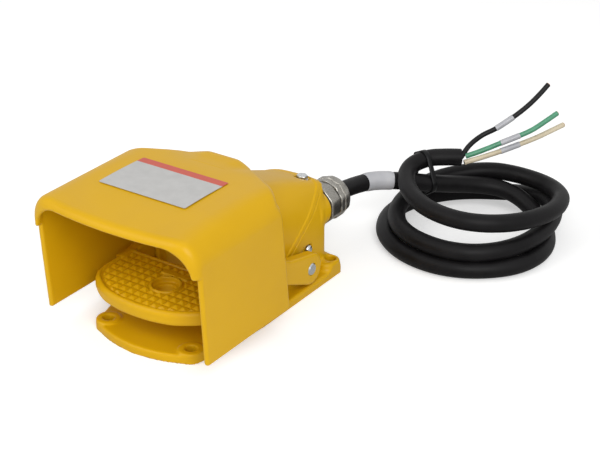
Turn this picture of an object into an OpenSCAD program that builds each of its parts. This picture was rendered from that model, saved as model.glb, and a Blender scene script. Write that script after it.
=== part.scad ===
// Industrial foot switch under a full shield: cast base and shield, a treadle that
// turns a shaft through the housing, a snap switch, a cable gland and a coiled cord.
// Millimetres. Origin in the middle of the underside of the casting, +Y to the rear
// and +Z up. The treadle's front goes down when its hinge turns by the right-hand
// rule about +X.

/* [Shield] */
// Width over the shield's side walls
shield_w = 152; // [148:1:156]
// Thickness of the shield's walls
wall_t = 4.5; // [4:0.5:5]
// Height of the crown of the roof
roof_z = 120; // [119:0.5:121]
// Radius between the roof and the side walls, outside
roof_r = 22; // [19:1:24]
// Height of the side walls' lower edge above the floor
skirt_z = 18; // [16:1:20]
// Depth from the middle of the front lip to the back of the housing
depth = 220; // [218:1:222]

/* [Base] */
// Half width of the base flange
base_hw = 58; // [57:0.5:59]
// Thickness of the base plate
plate_t = 7; // [6:0.5:8]
// Diameter of the mounting holes
mount_d = 8.8; // [8:0.2:9.4]
// Distance between the front mounting holes
front_pitch = 79; // [77:1:81]
// Distance between the rear mounting holes
rear_pitch = 101; // [100:1:102]
// Half width of the switch housing
house_hw = 46; // [45:0.5:47]
// Thickness of the housing's walls
house_t = 5; // [4.5:0.5:5.5]

/* [Treadle] */
// Height of the pivot shaft's axis
pivot_z = 23; // [22:0.5:24]
// Distance of the pivot shaft behind the origin
pivot_y = 62; // [61:0.5:63]
// Diameter of the pivot shaft
shaft_d = 10; // [9:0.5:11]
// Height of the treadle's rim
tread_z = 42; // [41:0.5:43]
// Distance between the rows of the tread
row_pitch = 7.2; // [7:0.1:7.4]
// Diameter of the hole through the tread, at its upper edge
tread_hole_d = 21; // [19:1:23]

/* [Cable] */
// Diameter of the cord's jacket
cord_d = 15; // [14:0.5:15.5]
// Distance of the gland to the right of the middle
gland_x = 30; // [29:0.5:31]
// Height of the gland's axis
gland_z = 50; // [49:0.5:51]
// Diameter of the gland's nut over its corners
nut_d = 35; // [33:1:37]
// Diameter of one insulated conductor
wire_d = 4.4; // [4:0.2:4.6]

/* [Hidden] */
$fn = 48;
cast_yellow = [0.88, 0.68, 0.16];
zinc = [0.72, 0.72, 0.70];
brass = [0.75, 0.6, 0.3];
rubber = [0.1, 0.1, 0.1];
phenolic = [0.16, 0.12, 0.1];
white_film = [0.9, 0.9, 0.88];
wire_green_c = [0.2, 0.5, 0.3];

front_y = -depth / 2;
rear_y = depth / 2;
side_front_y = front_y + 9;          // front of the lip at the side walls
bow_r = 345;                         // radius of the lip's bow in plan
crown_r = 700;                       // radius of the roof's crown, front to rear
crown_y = -48;                       // where the crown is highest
wall_front_y = front_y + 18.5;       // front lower corner of a side wall
wall_front_lean = 5;                 // how far a side wall leans forward at the notch
notch_z = 90;                        // underside of the lip's ends
wall_rear_y = 9.6;                   // rear lower corner of a side wall
wall_rear_lean = 9.6;                // how far its rear edge leans forward at the shoulder
split_slope = 36.7;                  // angle of the parting plane between base and cover
split_y = 47;                        // the parting plane passes this point
split_z = 29;
gasket_t = 1;
house_front_y = 12;                  // front wall of the housing
front_hole_y = -65.5;
rear_hole_y = 101.4;
ear_z = 13;                          // top of the rear ears
boss_z = 8.4;                        // top of the front bosses
plate_rear_y = 109;
inner_floor = plate_t;

arm_x = 50.5;                        // inner face of a treadle arm
arm_t = 9.5;                         // its thickness
bush_d = 14;                         // outside of a shaft bushing
run_fit = 0.05;                      // radial clearance of the shaft
tread_under = 30;                    // underside of the treadle plate
recess = 2;                          // depth of the tread's field below the rim
hole_x = 2;                          // centre of the hole through the tread
hole_y = -46;

switch_x = -8;                       // middle of the switch case
switch_l = 49;
switch_z0 = 38.3;                    // underside of the case
switch_z1 = 55.8;
case_rear_y = 41;
push_z = 47;                         // height of the switch plunger
gland_d = 22;                        // gland thread
nut_y0 = 123.5;
nut_y1 = 138.5;
side_screw_y = 78;
side_screw_z = 29;
rear_screw_x = 24.5;
rear_screw_y = 99;
rear_screw_z = 76.4;                   // seat of the rear screw's washer
lip_in = 4.5;                       // how far the lip turns inwards
lip_open_z = 110.7;                  // top of the opening that the lip leaves
hump_y = 14;                         // where the hump over the housing starts to rise

// Routes, point by point from the gland outwards
lead_in = [
    [30, 123, 50], [30, 140, 50], [31, 151, 49], [31.5, 162, 47.5], [33, 173, 46], [36, 183, 45],
    [42, 192, 44], [50, 199, 44], [57, 205, 44]
];
tail = [[52, 208, 50], [58, 222, 53], [66, 233, 55], [75, 242, 55], [84, 250, 54]];
black_route = [
    [84, 250, 54], [86, 261, 62], [91, 273, 68], [100, 281, 74], [111, 293, 84], [118, 303, 92],
    [123, 313, 100], [127, 322, 108]
];
green_route = [
    [87, 253, 54], [96, 261, 57], [101, 270, 60], [106, 275, 64], [120, 288, 70], [128, 295, 74],
    [133, 304, 80], [140, 317, 86]
];
white_route = [
    [88, 249, 51], [97, 259, 53], [102, 268, 56], [106, 273, 58], [120, 289, 62], [129, 299, 66],
    [136, 312, 70], [144, 323, 74]
];
black_lead = [
    [27, 109.5, 52], [27, 101, 52], [23, 90, 57], [6, 76, 63], [-20, 58, 62], [-34, 44, 57], [-36, 30, 50.8]
];
green_lead = [
    [33, 109.5, 47], [32.5, 101, 47], [29, 90, 44], [26, 76, 39], [25, 62, 36], [28, 49, 24], [33, 41, 13]
];
white_lead = [
    [30, 109.5, 54], [30, 101, 54], [31, 90, 58], [30, 70, 62], [27, 52, 60], [23, 40, 55], [20.5, 30, 50.8]
];

// ---------------------------------------------------------------- helpers

// Extrudes a drawing in X and Z along Y, from y0 to y1
module along_y(y0, y1) {
    translate([0, y1, 0]) rotate([90, 0, 0]) linear_extrude(y1 - y0) children();
}

// Extrudes a drawing in Y and Z along X, from x0 to x1
module along_x(x0, x1) {
    translate([x0, 0, 0]) rotate([90, 0, 90]) linear_extrude(x1 - x0) children();
}

// A box from one corner to the opposite one
module box(a, b) {
    translate(a) cube(b - a);
}

// A cylinder along X
module rod_x(x0, x1, d, y, z) {
    translate([x0, y, z]) rotate([0, 90, 0]) cylinder(d = d, h = x1 - x0);
}

// A cylinder along Y
module rod_y(y0, y1, d, x, z) {
    translate([x, y1, z]) rotate([90, 0, 0]) cylinder(d = d, h = y1 - y0);
}

// A cylinder along Z
module rod_z(z0, z1, d, x, y) {
    translate([x, y, z0]) cylinder(d = d, h = z1 - z0);
}

// A ring along X
module ring_x(x0, x1, outer, inner, y, z) {
    difference() {
        rod_x(x0, x1, outer, y, z);
        rod_x(x0 - 1, x1 + 1, inner, y, z);
    }
}

// A door-shaped outline: flat below, two rounded corners above
module arch_2d(hw, top, r, bottom) {
    translate([-hw, bottom]) square([2 * hw, top - r - bottom]);
    translate([-hw + r, bottom]) square([2 * (hw - r), top - bottom]);
    for (s = [-1, 1]) translate([s * (hw - r), top - r]) circle(r);
}

// A rectangle with rounded corners
module round_rect(x0, y0, x1, y1, r) {
    translate([x0 + r, y0]) square([x1 - x0 - 2 * r, y1 - y0]);
    translate([x0, y0 + r]) square([x1 - x0, y1 - y0 - 2 * r]);
    for (x = [x0 + r, x1 - r]) {
        for (y = [y0 + r, y1 - r]) translate([x, y]) circle(r);
    }
}

// A block lying on the parting plane between two heights measured along its normal
module split_block(low, high) {
    translate([0, split_y, split_z]) rotate([split_slope, 0, 0])
        translate([-100, -150, low]) cube([200, 300, high - low]);
}

function unit(v) = v / norm(v);
function route_dir(p, i) = unit(p[min(i + 1, len(p) - 1)] - p[max(i - 1, 0)]);
function ring_pt(p, i, r, a) =
    let (d = route_dir(p, i), s = unit(cross(d, [0, 0, 1])), u = cross(s, d))
    p[i] + r * (cos(a) * s + sin(a) * u);

// A solid tube through a list of points
module tube(p, d, sides) {
    n = len(p);
    polyhedron(
        points = [for (i = [0 : n - 1]) for (k = [0 : sides - 1]) ring_pt(p, i, d / 2, 360 * k / sides)],
        faces = concat(
            [[for (k = [0 : sides - 1]) k]],
            [[for (k = [sides - 1 : -1 : 0]) (n - 1) * sides + k]],
            [for (i = [0 : n - 2]) for (k = [0 : sides - 1])
                [i * sides + k, (i + 1) * sides + k, (i + 1) * sides + (k + 1) % sides]],
            [for (i = [0 : n - 2]) for (k = [0 : sides - 1])
                [i * sides + k, (i + 1) * sides + (k + 1) % sides, i * sides + (k + 1) % sides]]
        )
    );
}

// ---------------------------------------------------------------- shield and cover

// Plan of the shield: bowed lip in front, swept back to the dome behind
module shield_plan(grow) {
    intersection() {
        translate([0, front_y + bow_r]) circle(bow_r, $fn = 360);
        polygon([
            [-shield_w, -150], [shield_w, -150], [shield_w, 2 + grow], [shield_w / 2, 2.5 + grow],
            [68, 4 + grow], [61, 9 + grow], [51, 13 + grow], [36, 24 + grow], [16, 30 + grow],
            [-16, 30 + grow], [-36, 24 + grow], [-51, 13 + grow], [-61, 9 + grow], [-68, 4 + grow],
            [-shield_w / 2, 2.5 + grow], [-shield_w, 2 + grow]
        ]);
    }
}

// The long crown of the roof
module crown(hw, top) {
    along_x(-hw, hw) translate([crown_y, top - crown_r]) circle(crown_r, $fn = 720);
}

// Outer solid of the wide hood
module hood_outer() {
    hw = shield_w / 2;
    intersection() {
        along_y(-140, 60) arch_2d(hw, roof_z, roof_r, skirt_z);
        crown(hw, roof_z);
        along_x(-hw, hw) polygon([
            [wall_front_y, skirt_z], [wall_front_y - wall_front_lean, notch_z],
            [front_y - 10, notch_z], [front_y - 10, 140], [60, 140], [60, 106],
            [wall_rear_y - wall_rear_lean, 106], [wall_rear_y, skirt_z]
        ]);
        union() {
            linear_extrude(105) shield_plan(14);
            linear_extrude(200) shield_plan(0);
        }
    }
}

// The space under the hood
module hood_inner() {
    hw = shield_w / 2 - wall_t;
    difference() {
        intersection() {
            along_y(-160, house_front_y) arch_2d(hw, roof_z - wall_t, roof_r - wall_t, -10);
            crown(hw, roof_z - wall_t);
        }
        for (x0 = [-100, house_hw]) along_x(x0, x0 + 100 - house_hw) polygon([
            [60, -60], [wall_rear_y - wall_t, -60], [wall_rear_y - wall_t, skirt_z],
            [wall_rear_y - wall_rear_lean - wall_t, 106], [wall_rear_y - wall_rear_lean - wall_t, 140],
            [60, 140]
        ]);
    }
}

// The housing's hollow form, base and dome together, inset by wall
module housing(wall, floor_z) {
    hw = house_hw - wall;
    hull($fn = 32) {
        along_y(house_front_y + wall, house_front_y + 1 + wall) arch_2d(hw, 104 - wall, 36 - wall, floor_z);
        along_y(26, 27) arch_2d(hw, 102 - wall, 36 - wall, floor_z);
        rod_y(98, rear_y - 3 - wall, 2 * (8 - wall / 2), 33 - wall / 2, 68 - wall / 2);
        rod_y(98, rear_y - 3 - wall, 2 * (36 - wall), 5, 40);
        for (s = [-1, 1]) rod_z(floor_z, 54, 16, s * (hw - 8), 98.5 - wall);
    }
}

// The wall that closes the hood over and beside the front of the housing
module rear_wall() {
    box([-50, house_front_y, skirt_z], [50, house_front_y + 4.5, 112]);
    for (x0 = [-50, house_hw]) box([x0, -4, skirt_z], [x0 + 4, house_front_y + 1, 112]);
}

// The hump where the roof closes down onto the housing
module roof_bridge() {
    intersection() {
        hull($fn = 48) {
            along_y(house_front_y, hump_y) arch_2d(house_hw, roof_z - 4.2, 36, 70);
            along_y(hump_y + 11, 40) arch_2d(house_hw, roof_z - 2.4, 36, 70);
        }
        linear_extrude(200) shield_plan(0);
    }
}

// The lip along the front of the roof and down to the notches
module front_lip() {
    hw = shield_w / 2;
    intersection() {
        difference() {
            along_y(-140, side_front_y + 6) arch_2d(hw, roof_z - 0.5, roof_r, 60);
            along_y(-141, side_front_y + 7) arch_2d(hw - lip_in, lip_open_z, 23, 50);
        }
        box([-100, -140, notch_z], [100, 0, 140]);
        linear_extrude(200) shield_plan(0);
        crown(hw, roof_z);
    }
}

module shield_cover() {
    color(cast_yellow) difference() {
        union() {
            difference() {
                union() {
                    hood_outer();
                    roof_bridge();
                    rear_wall();
                    intersection() {
                        housing(0, plate_t + gasket_t);
                        split_block(gasket_t, 250);
                    }
                }
                hood_inner();
                housing(house_t, 0);
                along_y(17, 24) arch_2d(26, 110, 20, 60);
            }
            front_lip();
            for (s = [-1, 1]) box(
                [s > 0 ? house_hw - house_t - 5.4 : -house_hw + house_t + 0.4, 73, 24],
                [s > 0 ? house_hw - house_t - 0.4 : -house_hw + house_t + 5.4, 83, 64]
            );
            for (s = [-1, 1]) box([s > 0 ? 36 : -44, 73, 59], [s > 0 ? 44 : -36, 83, 64]);
            intersection() {
                union() {
                    rod_z(60, rear_screw_z, 12, rear_screw_x, rear_screw_y);
                    box([rear_screw_x - 6, rear_screw_y, 60], [rear_screw_x + 6, rear_y - 5, 74]);
                }
                split_block(gasket_t, 100);
            }
        }
        rod_z(40, 140, 5.4, rear_screw_x, rear_screw_y);
        rod_z(rear_screw_z, 95, 13, rear_screw_x, rear_screw_y);
        rod_x(-46, 46, 4.2, side_screw_y, side_screw_z);
        for (s = [-1, 1]) box([s > 0 ? 49 : -61, -20, 0], [s > 0 ? 61 : -49, 20, 46]);
    }
}

module cover_gasket() {
    color(rubber) difference() {
        intersection() {
            housing(0.4, plate_t);
            split_block(0, gasket_t);
        }
        housing(house_t, 0);
        box([-80, -20, 0], [80, 17, 60]);
    }
}

// A hex-head screw standing on z = 0, its shank going down
module hex_screw(flats, head_h, shank_d, shank_l) {
    cylinder(d = flats / cos(30), h = head_h, $fn = 6);
    translate([0, 0, -shank_l]) cylinder(d = shank_d, h = shank_l);
}

module rear_cover_screw() {
    color(zinc) {
        translate([rear_screw_x, rear_screw_y, rear_screw_z]) {
            cylinder(d = 10, h = 1);
            translate([0, 0, 1]) hex_screw(8, 3.4, 5, 14.5);
        }
    }
}

module side_cover_screws() {
    color(zinc) for (s = [-1, 1]) {
        translate([s * 44.5, side_screw_y, side_screw_z]) rotate([0, s * 90, 0]) {
            cylinder(d1 = 8, d2 = 6.6, h = 2.8);
            translate([0, 0, -9]) cylinder(d = 4, h = 9);
        }
    }
}

// ---------------------------------------------------------------- base casting

module base_outline() {
    intersection() {
        translate([0, 5]) circle(90, $fn = 180);
        polygon([
            [-base_hw, 20], [-base_hw, 0], [-base_hw + 4, -46], [-base_hw + 11, -71], [-base_hw + 11, -95],
            [base_hw - 11, -95], [base_hw - 11, -71], [base_hw - 4, -46], [base_hw, 0], [base_hw, 20]
        ]);
    }
    translate([-base_hw, 0]) square([2 * base_hw, 90]);
    round_rect(-base_hw, 60, base_hw, plate_rear_y, 8);
}

module base_casting() {
    color(cast_yellow) difference() {
        union() {
            difference() {
                union() {
                    linear_extrude(plate_t) base_outline();
                    intersection() {
                        housing(0, 0);
                        split_block(-200, 0);
                    }
                    rod_y(103, rear_y, 32, gland_x, gland_z);
                    for (s = [-1, 1]) rod_z(0, boss_z, 19, s * front_pitch / 2, front_hole_y);
                    for (s = [-1, 1]) linear_extrude(ear_z)
                        round_rect(s > 0 ? 36 : -base_hw, 88, s > 0 ? base_hw : -36, plate_rear_y, 7);
                }
                intersection() {
                    housing(house_t, inner_floor);
                    box([-41, 0, inner_floor], [41, 105, 120]);
                }
            }
            for (s = [-1, 1]) rod_x(s > 0 ? 35 : -42, s > 0 ? 42 : -35, 20, pivot_y, pivot_z);
            intersection() {
                union() {
                    rod_z(61.5, 76, 12, rear_screw_x, rear_screw_y);
                    box([rear_screw_x - 6, rear_screw_y, 61.5], [rear_screw_x + 6, rear_y - 3, 76]);
                }
                split_block(-40, 0);
            }
        }
        for (s = [-1, 1]) rod_z(-1, 20, mount_d, s * front_pitch / 2, front_hole_y);
        for (s = [-1, 1]) rod_z(-1, 20, mount_d, s * rear_pitch / 2, rear_hole_y);
        rod_x(-60, 60, bush_d, pivot_y, pivot_z);
        rod_y(90, 115, gland_d, gland_x, gland_z);
        rod_z(62.4, 90, 5, rear_screw_x, rear_screw_y);
        for (s = [-1, 1]) {
            rod_x(s > 0 ? 40 : -46, s > 0 ? 46 : -40, 4.2, side_screw_y, side_screw_z);
            rod_x(s > 0 ? 44.5 : -50, s > 0 ? 50 : -44.5, 9, side_screw_y, side_screw_z);
            rod_x(s > 0 ? 44.5 : -50, s > 0 ? 50 : -44.5, 9, side_screw_y - 6, side_screw_z);
            box([s > 0 ? 44.5 : -50, side_screw_y - 6, side_screw_z - 4.5],
                [s > 0 ? 50 : -44.5, side_screw_y, side_screw_z + 4.5]);
        }
        for (x = [-24, 8]) rod_z(3, 12, 3.4, x, 25);
        rod_z(3, 12, 3.4, 34, 38);
        rod_z(5, 8, 6, 0, 40);
    }
}

// ---------------------------------------------------------------- treadle and shaft

module treadle_outline(inset) {
    intersection() {
        translate([0, 16]) circle(100 - inset, $fn = 180);
        polygon([
            [-57.5 + inset, -16 - inset], [57.5 - inset, -16 - inset], [57.5 - inset, -46], [55.5 - inset, -58],
            [50.5 - inset, -67], [42 - inset, -76], [30, -90], [-30, -90], [-42 + inset, -76],
            [-50.5 + inset, -67], [-55.5 + inset, -58], [-57.5 + inset, -46]
        ]);
    }
}

// The raised tread: two crossing sets of ridges leave rows of small pyramids
module tread_field(z0, h) {
    rows = 9;
    cols = 17;
    intersection() {
        for (i = [0 : rows]) along_x(-60, 60) translate([-23.4 - i * row_pitch, z0])
            polygon([[-row_pitch / 2, -1], [row_pitch / 2, -1], [row_pitch / 2 - 0.3, 0], [0.7, h], [-0.7, h],
                [-row_pitch / 2 + 0.3, 0]]);
        for (j = [-cols / 2 + 0.5 : cols / 2 - 0.5]) along_y(-90, -10) translate([j * 7, z0])
            polygon([[-3.5, -1], [3.5, -1], [3.2, 0], [0.7, h], [-0.7, h], [-3.2, 0]]);
        translate([0, 0, z0 - 0.5]) linear_extrude(h + 0.5) treadle_outline(4.5);
        difference() {
            box([-60, -90, z0 - 0.5], [60, -10, z0 + h]);
            rod_z(z0 - 1, z0 + h + 1, 28, hole_x, hole_y);
            box([-14.5, -35, z0 - 1], [14.5, -26.6, z0 + h + 1]);
        }
    }
}

module treadle_arm(x0) {
    along_x(x0, x0 + arm_t) {
        hull($fn = 40) {
            translate([pivot_y, pivot_z]) circle(13);
            translate([24, 35.5]) circle(9);
        }
        hull($fn = 40) {
            translate([24, 35.5]) circle(9);
            translate([-10, 34]) circle(8);
            translate([0, 29]) circle(9);
        }
        translate([-32, tread_under]) square([24, 12]);
    }
}

module treadle() {
    color(cast_yellow) difference() {
        union() {
            difference() {
                translate([0, 0, tread_under]) linear_extrude(tread_z - tread_under) treadle_outline(0);
                translate([0, 0, tread_z - recess]) linear_extrude(recess + 1) treadle_outline(3);
            }
            tread_field(tread_z - recess, recess - 0.1);
            rod_z(tread_z - recess - 1, tread_z - 0.4, 25, hole_x, hole_y);
            box([-13, -33.6, tread_z - recess - 1], [13, -28, tread_z - 0.1]);
            for (x0 = [arm_x, -arm_x - arm_t]) treadle_arm(x0);
        }
        rod_z(20, 50, 14, hole_x, hole_y);
        rod_z(tread_z - 5, 50, tread_hole_d, hole_x, hole_y);
        rod_x(-70, 70, shaft_d, pivot_y, pivot_z);
        for (s = [-1, 1]) rod_z(5, 31, 3, s * (arm_x + arm_t / 2), pivot_y);
    }
}

module treadle_shaft() {
    half = arm_x + arm_t + 0.4;
    color(zinc) difference() {
        rod_x(-half, half, shaft_d, pivot_y, pivot_z);
        for (s = [-1, 1]) rod_z(5, 31, 3, s * (arm_x + arm_t / 2), pivot_y);
        for (s = [-1, 1]) ring_x(s > 0 ? 33 : -34.2, s > 0 ? 34.2 : -33, 12, 9, pivot_y, pivot_z);
    }
}

module arm_drive_pins() {
    color(zinc) for (s = [-1, 1]) rod_z(11, 31, 3, s * (arm_x + arm_t / 2), pivot_y);
}

module shaft_bushings() {
    color(brass) for (s = [-1, 1])
        ring_x(s > 0 ? 35.4 : -46, s > 0 ? 46 : -35.4, bush_d, shaft_d + 2 * run_fit, pivot_y, pivot_z);
}

module shaft_seals() {
    color(rubber) for (s = [-1, 1])
        ring_x(s > 0 ? 46 : -49, s > 0 ? 49 : -46, 19, shaft_d + 2 * run_fit, pivot_y, pivot_z);
}

module shaft_retaining_rings() {
    color(zinc) for (s = [-1, 1]) ring_x(s > 0 ? 33 : -34.2, s > 0 ? 34.2 : -33, 16, 9, pivot_y, pivot_z);
}

// ---------------------------------------------------------------- switch works

module actuator_lever() {
    color(zinc) difference() {
        union() {
            rod_x(-10, 10, 20, pivot_y, pivot_z);
            box([-5, 52, 28], [5, 60, 53]);
            box([-6, 34, 20], [6, 60, 25]);
        }
        rod_x(-20, 20, shaft_d, pivot_y, pivot_z);
        rod_y(45, 65, 5, 0, push_z + 1);
        rod_z(20, 40, 3, 7.5, pivot_y);
    }
}

module lever_clamp_screw() {
    color(zinc) difference() {
        rod_z(28, 36, 3, 7.5, pivot_y);
        translate([7.5, pivot_y, 34.6]) cylinder(d = 1.7, h = 2, $fn = 6);
    }
}

module adjusting_screw() {
    color(zinc) {
        rod_y(45, 68, 5, 0, push_z + 1);
        translate([0, 45, push_z + 1]) rotate([90, 0, 0]) cylinder(d1 = 5, d2 = 1.8, h = 1.2);
        translate([0, 70.5, push_z + 1]) rotate([90, 0, 0]) cylinder(d = 8 / cos(30), h = 3, $fn = 6);
    }
}

module adjusting_locknut() {
    color(zinc) difference() {
        translate([0, 63.2, push_z + 1]) rotate([90, 0, 0]) cylinder(d = 8 / cos(30), h = 3.2, $fn = 6);
        rod_y(55, 68, 5, 0, push_z + 1);
    }
}

module spring_seat() {
    color(zinc) {
        rod_z(inner_floor, inner_floor + 1, 15, 0, 40);
        rod_z(5, inner_floor + 5, 6, 0, 40);
    }
}

module return_spring() {
    turns = 5;
    steps = 14;
    wire = 1.3;
    z0 = inner_floor + 1 + wire / 2 + 0.1;
    rise = 20 - wire - 0.2 - inner_floor - 1;
    coil = [for (i = [0 : turns * steps])
        [5.4 * cos(360 * i / steps), 40 + 5.4 * sin(360 * i / steps), z0 + rise * i / (turns * steps)]];
    color([0.5, 0.5, 0.5]) tube(coil, wire, 8);
}

module switch_bracket() {
    x0 = switch_x - switch_l / 2;
    color(zinc) difference() {
        union() {
            box([x0, 18, switch_z0 - 2], [x0 + switch_l, 41, switch_z0]);
            box([x0, 18, inner_floor], [x0 + switch_l, 20, switch_z0]);
            box([x0, 18, inner_floor], [x0 + switch_l, 31, inner_floor + 2]);
        }
        for (x = [-24, 8]) rod_z(5, 12, 3.4, x, 25);
        for (s = [-1, 1]) rod_z(30, 45, 4, switch_x + s * 12.7, 23.5);
    }
}

module bracket_screws() {
    color(zinc) for (x = [-24, 8]) {
        rod_z(3.5, inner_floor + 2, 3.4, x, 25);
        rod_z(inner_floor + 2, inner_floor + 4.2, 6.2, x, 25);
    }
}

module switch_case() {
    x0 = switch_x - switch_l / 2;
    color(phenolic) difference() {
        box([x0, 20.2, switch_z0], [x0 + switch_l, case_rear_y, switch_z1]);
        for (s = [-1, 1]) rod_z(30, 60, 4, switch_x + s * 12.7, 23.5);
        rod_y(34, 45, 5.2, 0, push_z);
    }
}

module switch_plunger() {
    color([0.6, 0.1, 0.08]) rod_y(37.4, 43.4, 5, 0, push_z);
}

module switch_screws() {
    color(zinc) for (s = [-1, 1]) {
        rod_z(switch_z0 - 4, switch_z1, 4, switch_x + s * 12.7, 23.5);
        rod_z(switch_z1, switch_z1 + 2.4, 7, switch_x + s * 12.7, 23.5);
        translate([switch_x + s * 12.7, 23.5, switch_z0 - 4.8]) cylinder(d = 7 / cos(30), h = 2.8, $fn = 6);
    }
}

module switch_terminals() {
    left = switch_x - switch_l / 2;
    right = switch_x + switch_l / 2;
    color(brass) {
        box([left - 6.5, 26, 46], [left, 33, 47]);
        rod_z(47, 49, 5, left - 3.4, 29.5);
        for (y = [23, 33]) {
            box([right, y, 46], [right + 6.5, y + 7, 47]);
            rod_z(47, 49, 5, right + 3.4, y + 3.5);
        }
    }
}

module ground_screw() {
    color([0.2, 0.5, 0.3]) {
        rod_z(4, inner_floor, 3.4, 34, 38);
        translate([34, 38, inner_floor]) cylinder(d = 7 / cos(30), h = 3.4, $fn = 6);
    }
}

module inner_lead_black() {
    color(rubber) tube(black_lead, 2.6, 8);
}

module inner_lead_green() {
    color(wire_green_c) tube(green_lead, 2.6, 8);
}

module inner_lead_white() {
    color(white_film) tube(white_lead, 2.6, 8);
}

// ---------------------------------------------------------------- gland

module gland_body() {
    color(zinc) difference() {
        union() {
            rod_y(103, 112, gland_d, gland_x, gland_z);
            rod_y(111, 123, 34, gland_x, gland_z);
            rod_y(123, 128.5, 24, gland_x, gland_z);
        }
        rod_y(100, 123, 13, gland_x, gland_z);
        rod_y(122.9, 130, 20, gland_x, gland_z);
    }
}

module gland_washer() {
    color(rubber) difference() {
        rod_y(rear_y, 111, 31, gland_x, gland_z);
        rod_y(105, 115, gland_d, gland_x, gland_z);
    }
}

module gland_grommet() {
    color(rubber) difference() {
        rod_y(123, 134, 20, gland_x, gland_z);
        rod_y(115, 137, cord_d, gland_x, gland_z);
    }
}

module gland_nut() {
    color(zinc) difference() {
        union() {
            rod_y(nut_y0, nut_y1 - 4, nut_d, gland_x, gland_z);
            translate([gland_x, nut_y1 - 4, gland_z]) rotate([-90, 0, 0])
                cylinder(d1 = nut_d, d2 = nut_d - 8, h = 4);
        }
        rod_y(115, 134, 24, gland_x, gland_z);
        rod_y(132, 142, cord_d + 1.2, gland_x, gland_z);
    }
}

// ---------------------------------------------------------------- label, cord and conductors

module blank_label() {
    turn = 0.6;
    color(white_film) intersection() {
        difference() {
            crown(60, roof_z + 0.35);
            crown(70, roof_z);
        }
        translate([-4.2, -36.4, 100]) rotate([0, 0, turn]) translate([-39.6, -26, 0]) cube([79.2, 52, 40]);
    }
}

module cord_lead_in() {
    color(rubber) tube(lead_in, cord_d, 12);
}

// A cord's marker sleeve: a short white band round the lead-in
module cord_marker() {
    color(white_film) tube([[32.5, 171, 46.3], [36, 183, 45], [42, 192, 44], [45.5, 195.3, 44]], cord_d + 1.4, 12);
}

// The two lower turns, as one closed ring of their outer shape
module cord_coil() {
    color(rubber) translate([114, 217, 0]) rotate_extrude($fn = 96) {
        translate([69.6, cord_d / 2]) circle(d = cord_d, $fn = 24);
        translate([64.5, 21.5]) circle(d = cord_d, $fn = 24);
        translate([62, 7.5]) square([10, 14]);
    }
}

module cord_top_turn() {
    color(rubber) translate([121, 227, 42]) rotate([-8, 0, 0])
        rotate_extrude($fn = 96) translate([61, 0]) circle(d = cord_d, $fn = 24);
}

module cord_tail() {
    color(rubber) tube(tail, cord_d, 12);
}

module cable_tie() {
    color(rubber) translate([62, 228, 47]) rotate([0, 0, 42]) {
        difference() {
            along_x(-2.4, 2.4) round_rect(-16, -17, 11, 17, 8);
            along_x(-3, 3) round_rect(-14.6, -15.6, 9.6, 15.6, 6.6);
        }
        box([-3.6, -3, 15.8], [3.6, 4.5, 20.8]);
    }
}

module wire_black() {
    color(rubber) tube(black_route, wire_d, 10);
}

module wire_green() {
    color(wire_green_c) tube(green_route, wire_d, 10);
}

module wire_white() {
    color(white_film) tube(white_route, wire_d, 10);
}

// Short sleeves along the first part of one leg of a route
module sleeve(p, i, j) {
    tube([for (k = [i : j]) p[k]], wire_d + 0.8, 10);
}

module wire_sleeves() {
    color(white_film) {
        sleeve(black_route, 3, 4);
        sleeve(green_route, 3, 4);
        sleeve(white_route, 3, 4);
    }
}

// ---------------------------------------------------------------- draw

base_casting();
shield_cover();
cover_gasket();
rear_cover_screw();
side_cover_screws();
treadle();
treadle_shaft();
arm_drive_pins();
shaft_bushings();
shaft_seals();
shaft_retaining_rings();
actuator_lever();
lever_clamp_screw();
adjusting_screw();
adjusting_locknut();
return_spring();
spring_seat();
switch_bracket();
bracket_screws();
switch_case();
switch_plunger();
switch_screws();
switch_terminals();
ground_screw();
inner_lead_black();
inner_lead_green();
inner_lead_white();
gland_body();
gland_washer();
gland_grommet();
gland_nut();
blank_label();
cord_lead_in();
cord_marker();
cord_coil();
cord_top_turn();
cord_tail();
cable_tie();
wire_black();
wire_green();
wire_white();
wire_sleeves();
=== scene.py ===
"""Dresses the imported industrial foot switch: a powder-coated casting under a full shield,
its treadle, its cable gland and the coiled cord.

Sizes are written in millimetres, in the part's own frame, and turned to metres where a mesh
is made. The castings are described as solids by their distance fields, so that every edge
and corner gets the soft radius of a real casting; everything else is turned, swept or bent
as its real counterpart is.
"""

import enum
import logging
import math
from dataclasses import dataclass, field
from typing import Callable, Iterable, Sequence

import bmesh
import bpy
import numpy as np
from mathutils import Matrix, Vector


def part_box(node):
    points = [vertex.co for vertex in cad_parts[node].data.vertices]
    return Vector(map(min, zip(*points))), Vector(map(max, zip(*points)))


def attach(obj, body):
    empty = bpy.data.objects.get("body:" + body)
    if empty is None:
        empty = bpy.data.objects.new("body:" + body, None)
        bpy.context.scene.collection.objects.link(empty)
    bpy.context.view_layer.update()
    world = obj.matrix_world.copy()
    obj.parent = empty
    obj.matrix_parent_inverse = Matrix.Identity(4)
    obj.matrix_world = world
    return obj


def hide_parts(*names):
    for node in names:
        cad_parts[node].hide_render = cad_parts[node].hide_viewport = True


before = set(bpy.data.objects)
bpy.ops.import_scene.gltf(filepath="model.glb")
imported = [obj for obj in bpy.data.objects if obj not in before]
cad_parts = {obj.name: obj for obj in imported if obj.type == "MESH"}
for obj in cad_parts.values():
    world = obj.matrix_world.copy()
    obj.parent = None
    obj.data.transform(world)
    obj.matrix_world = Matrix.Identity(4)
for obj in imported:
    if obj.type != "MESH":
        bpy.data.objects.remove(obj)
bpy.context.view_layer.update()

log = logging.getLogger("foot_switch")
MM = 0.001
Point = Sequence[float]
Array = np.ndarray
Number = float | Array
Field = Callable[[Array], Array]
Form = tuple[Array, Sequence[Sequence[int]]]
Pair = tuple[float, float]
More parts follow.
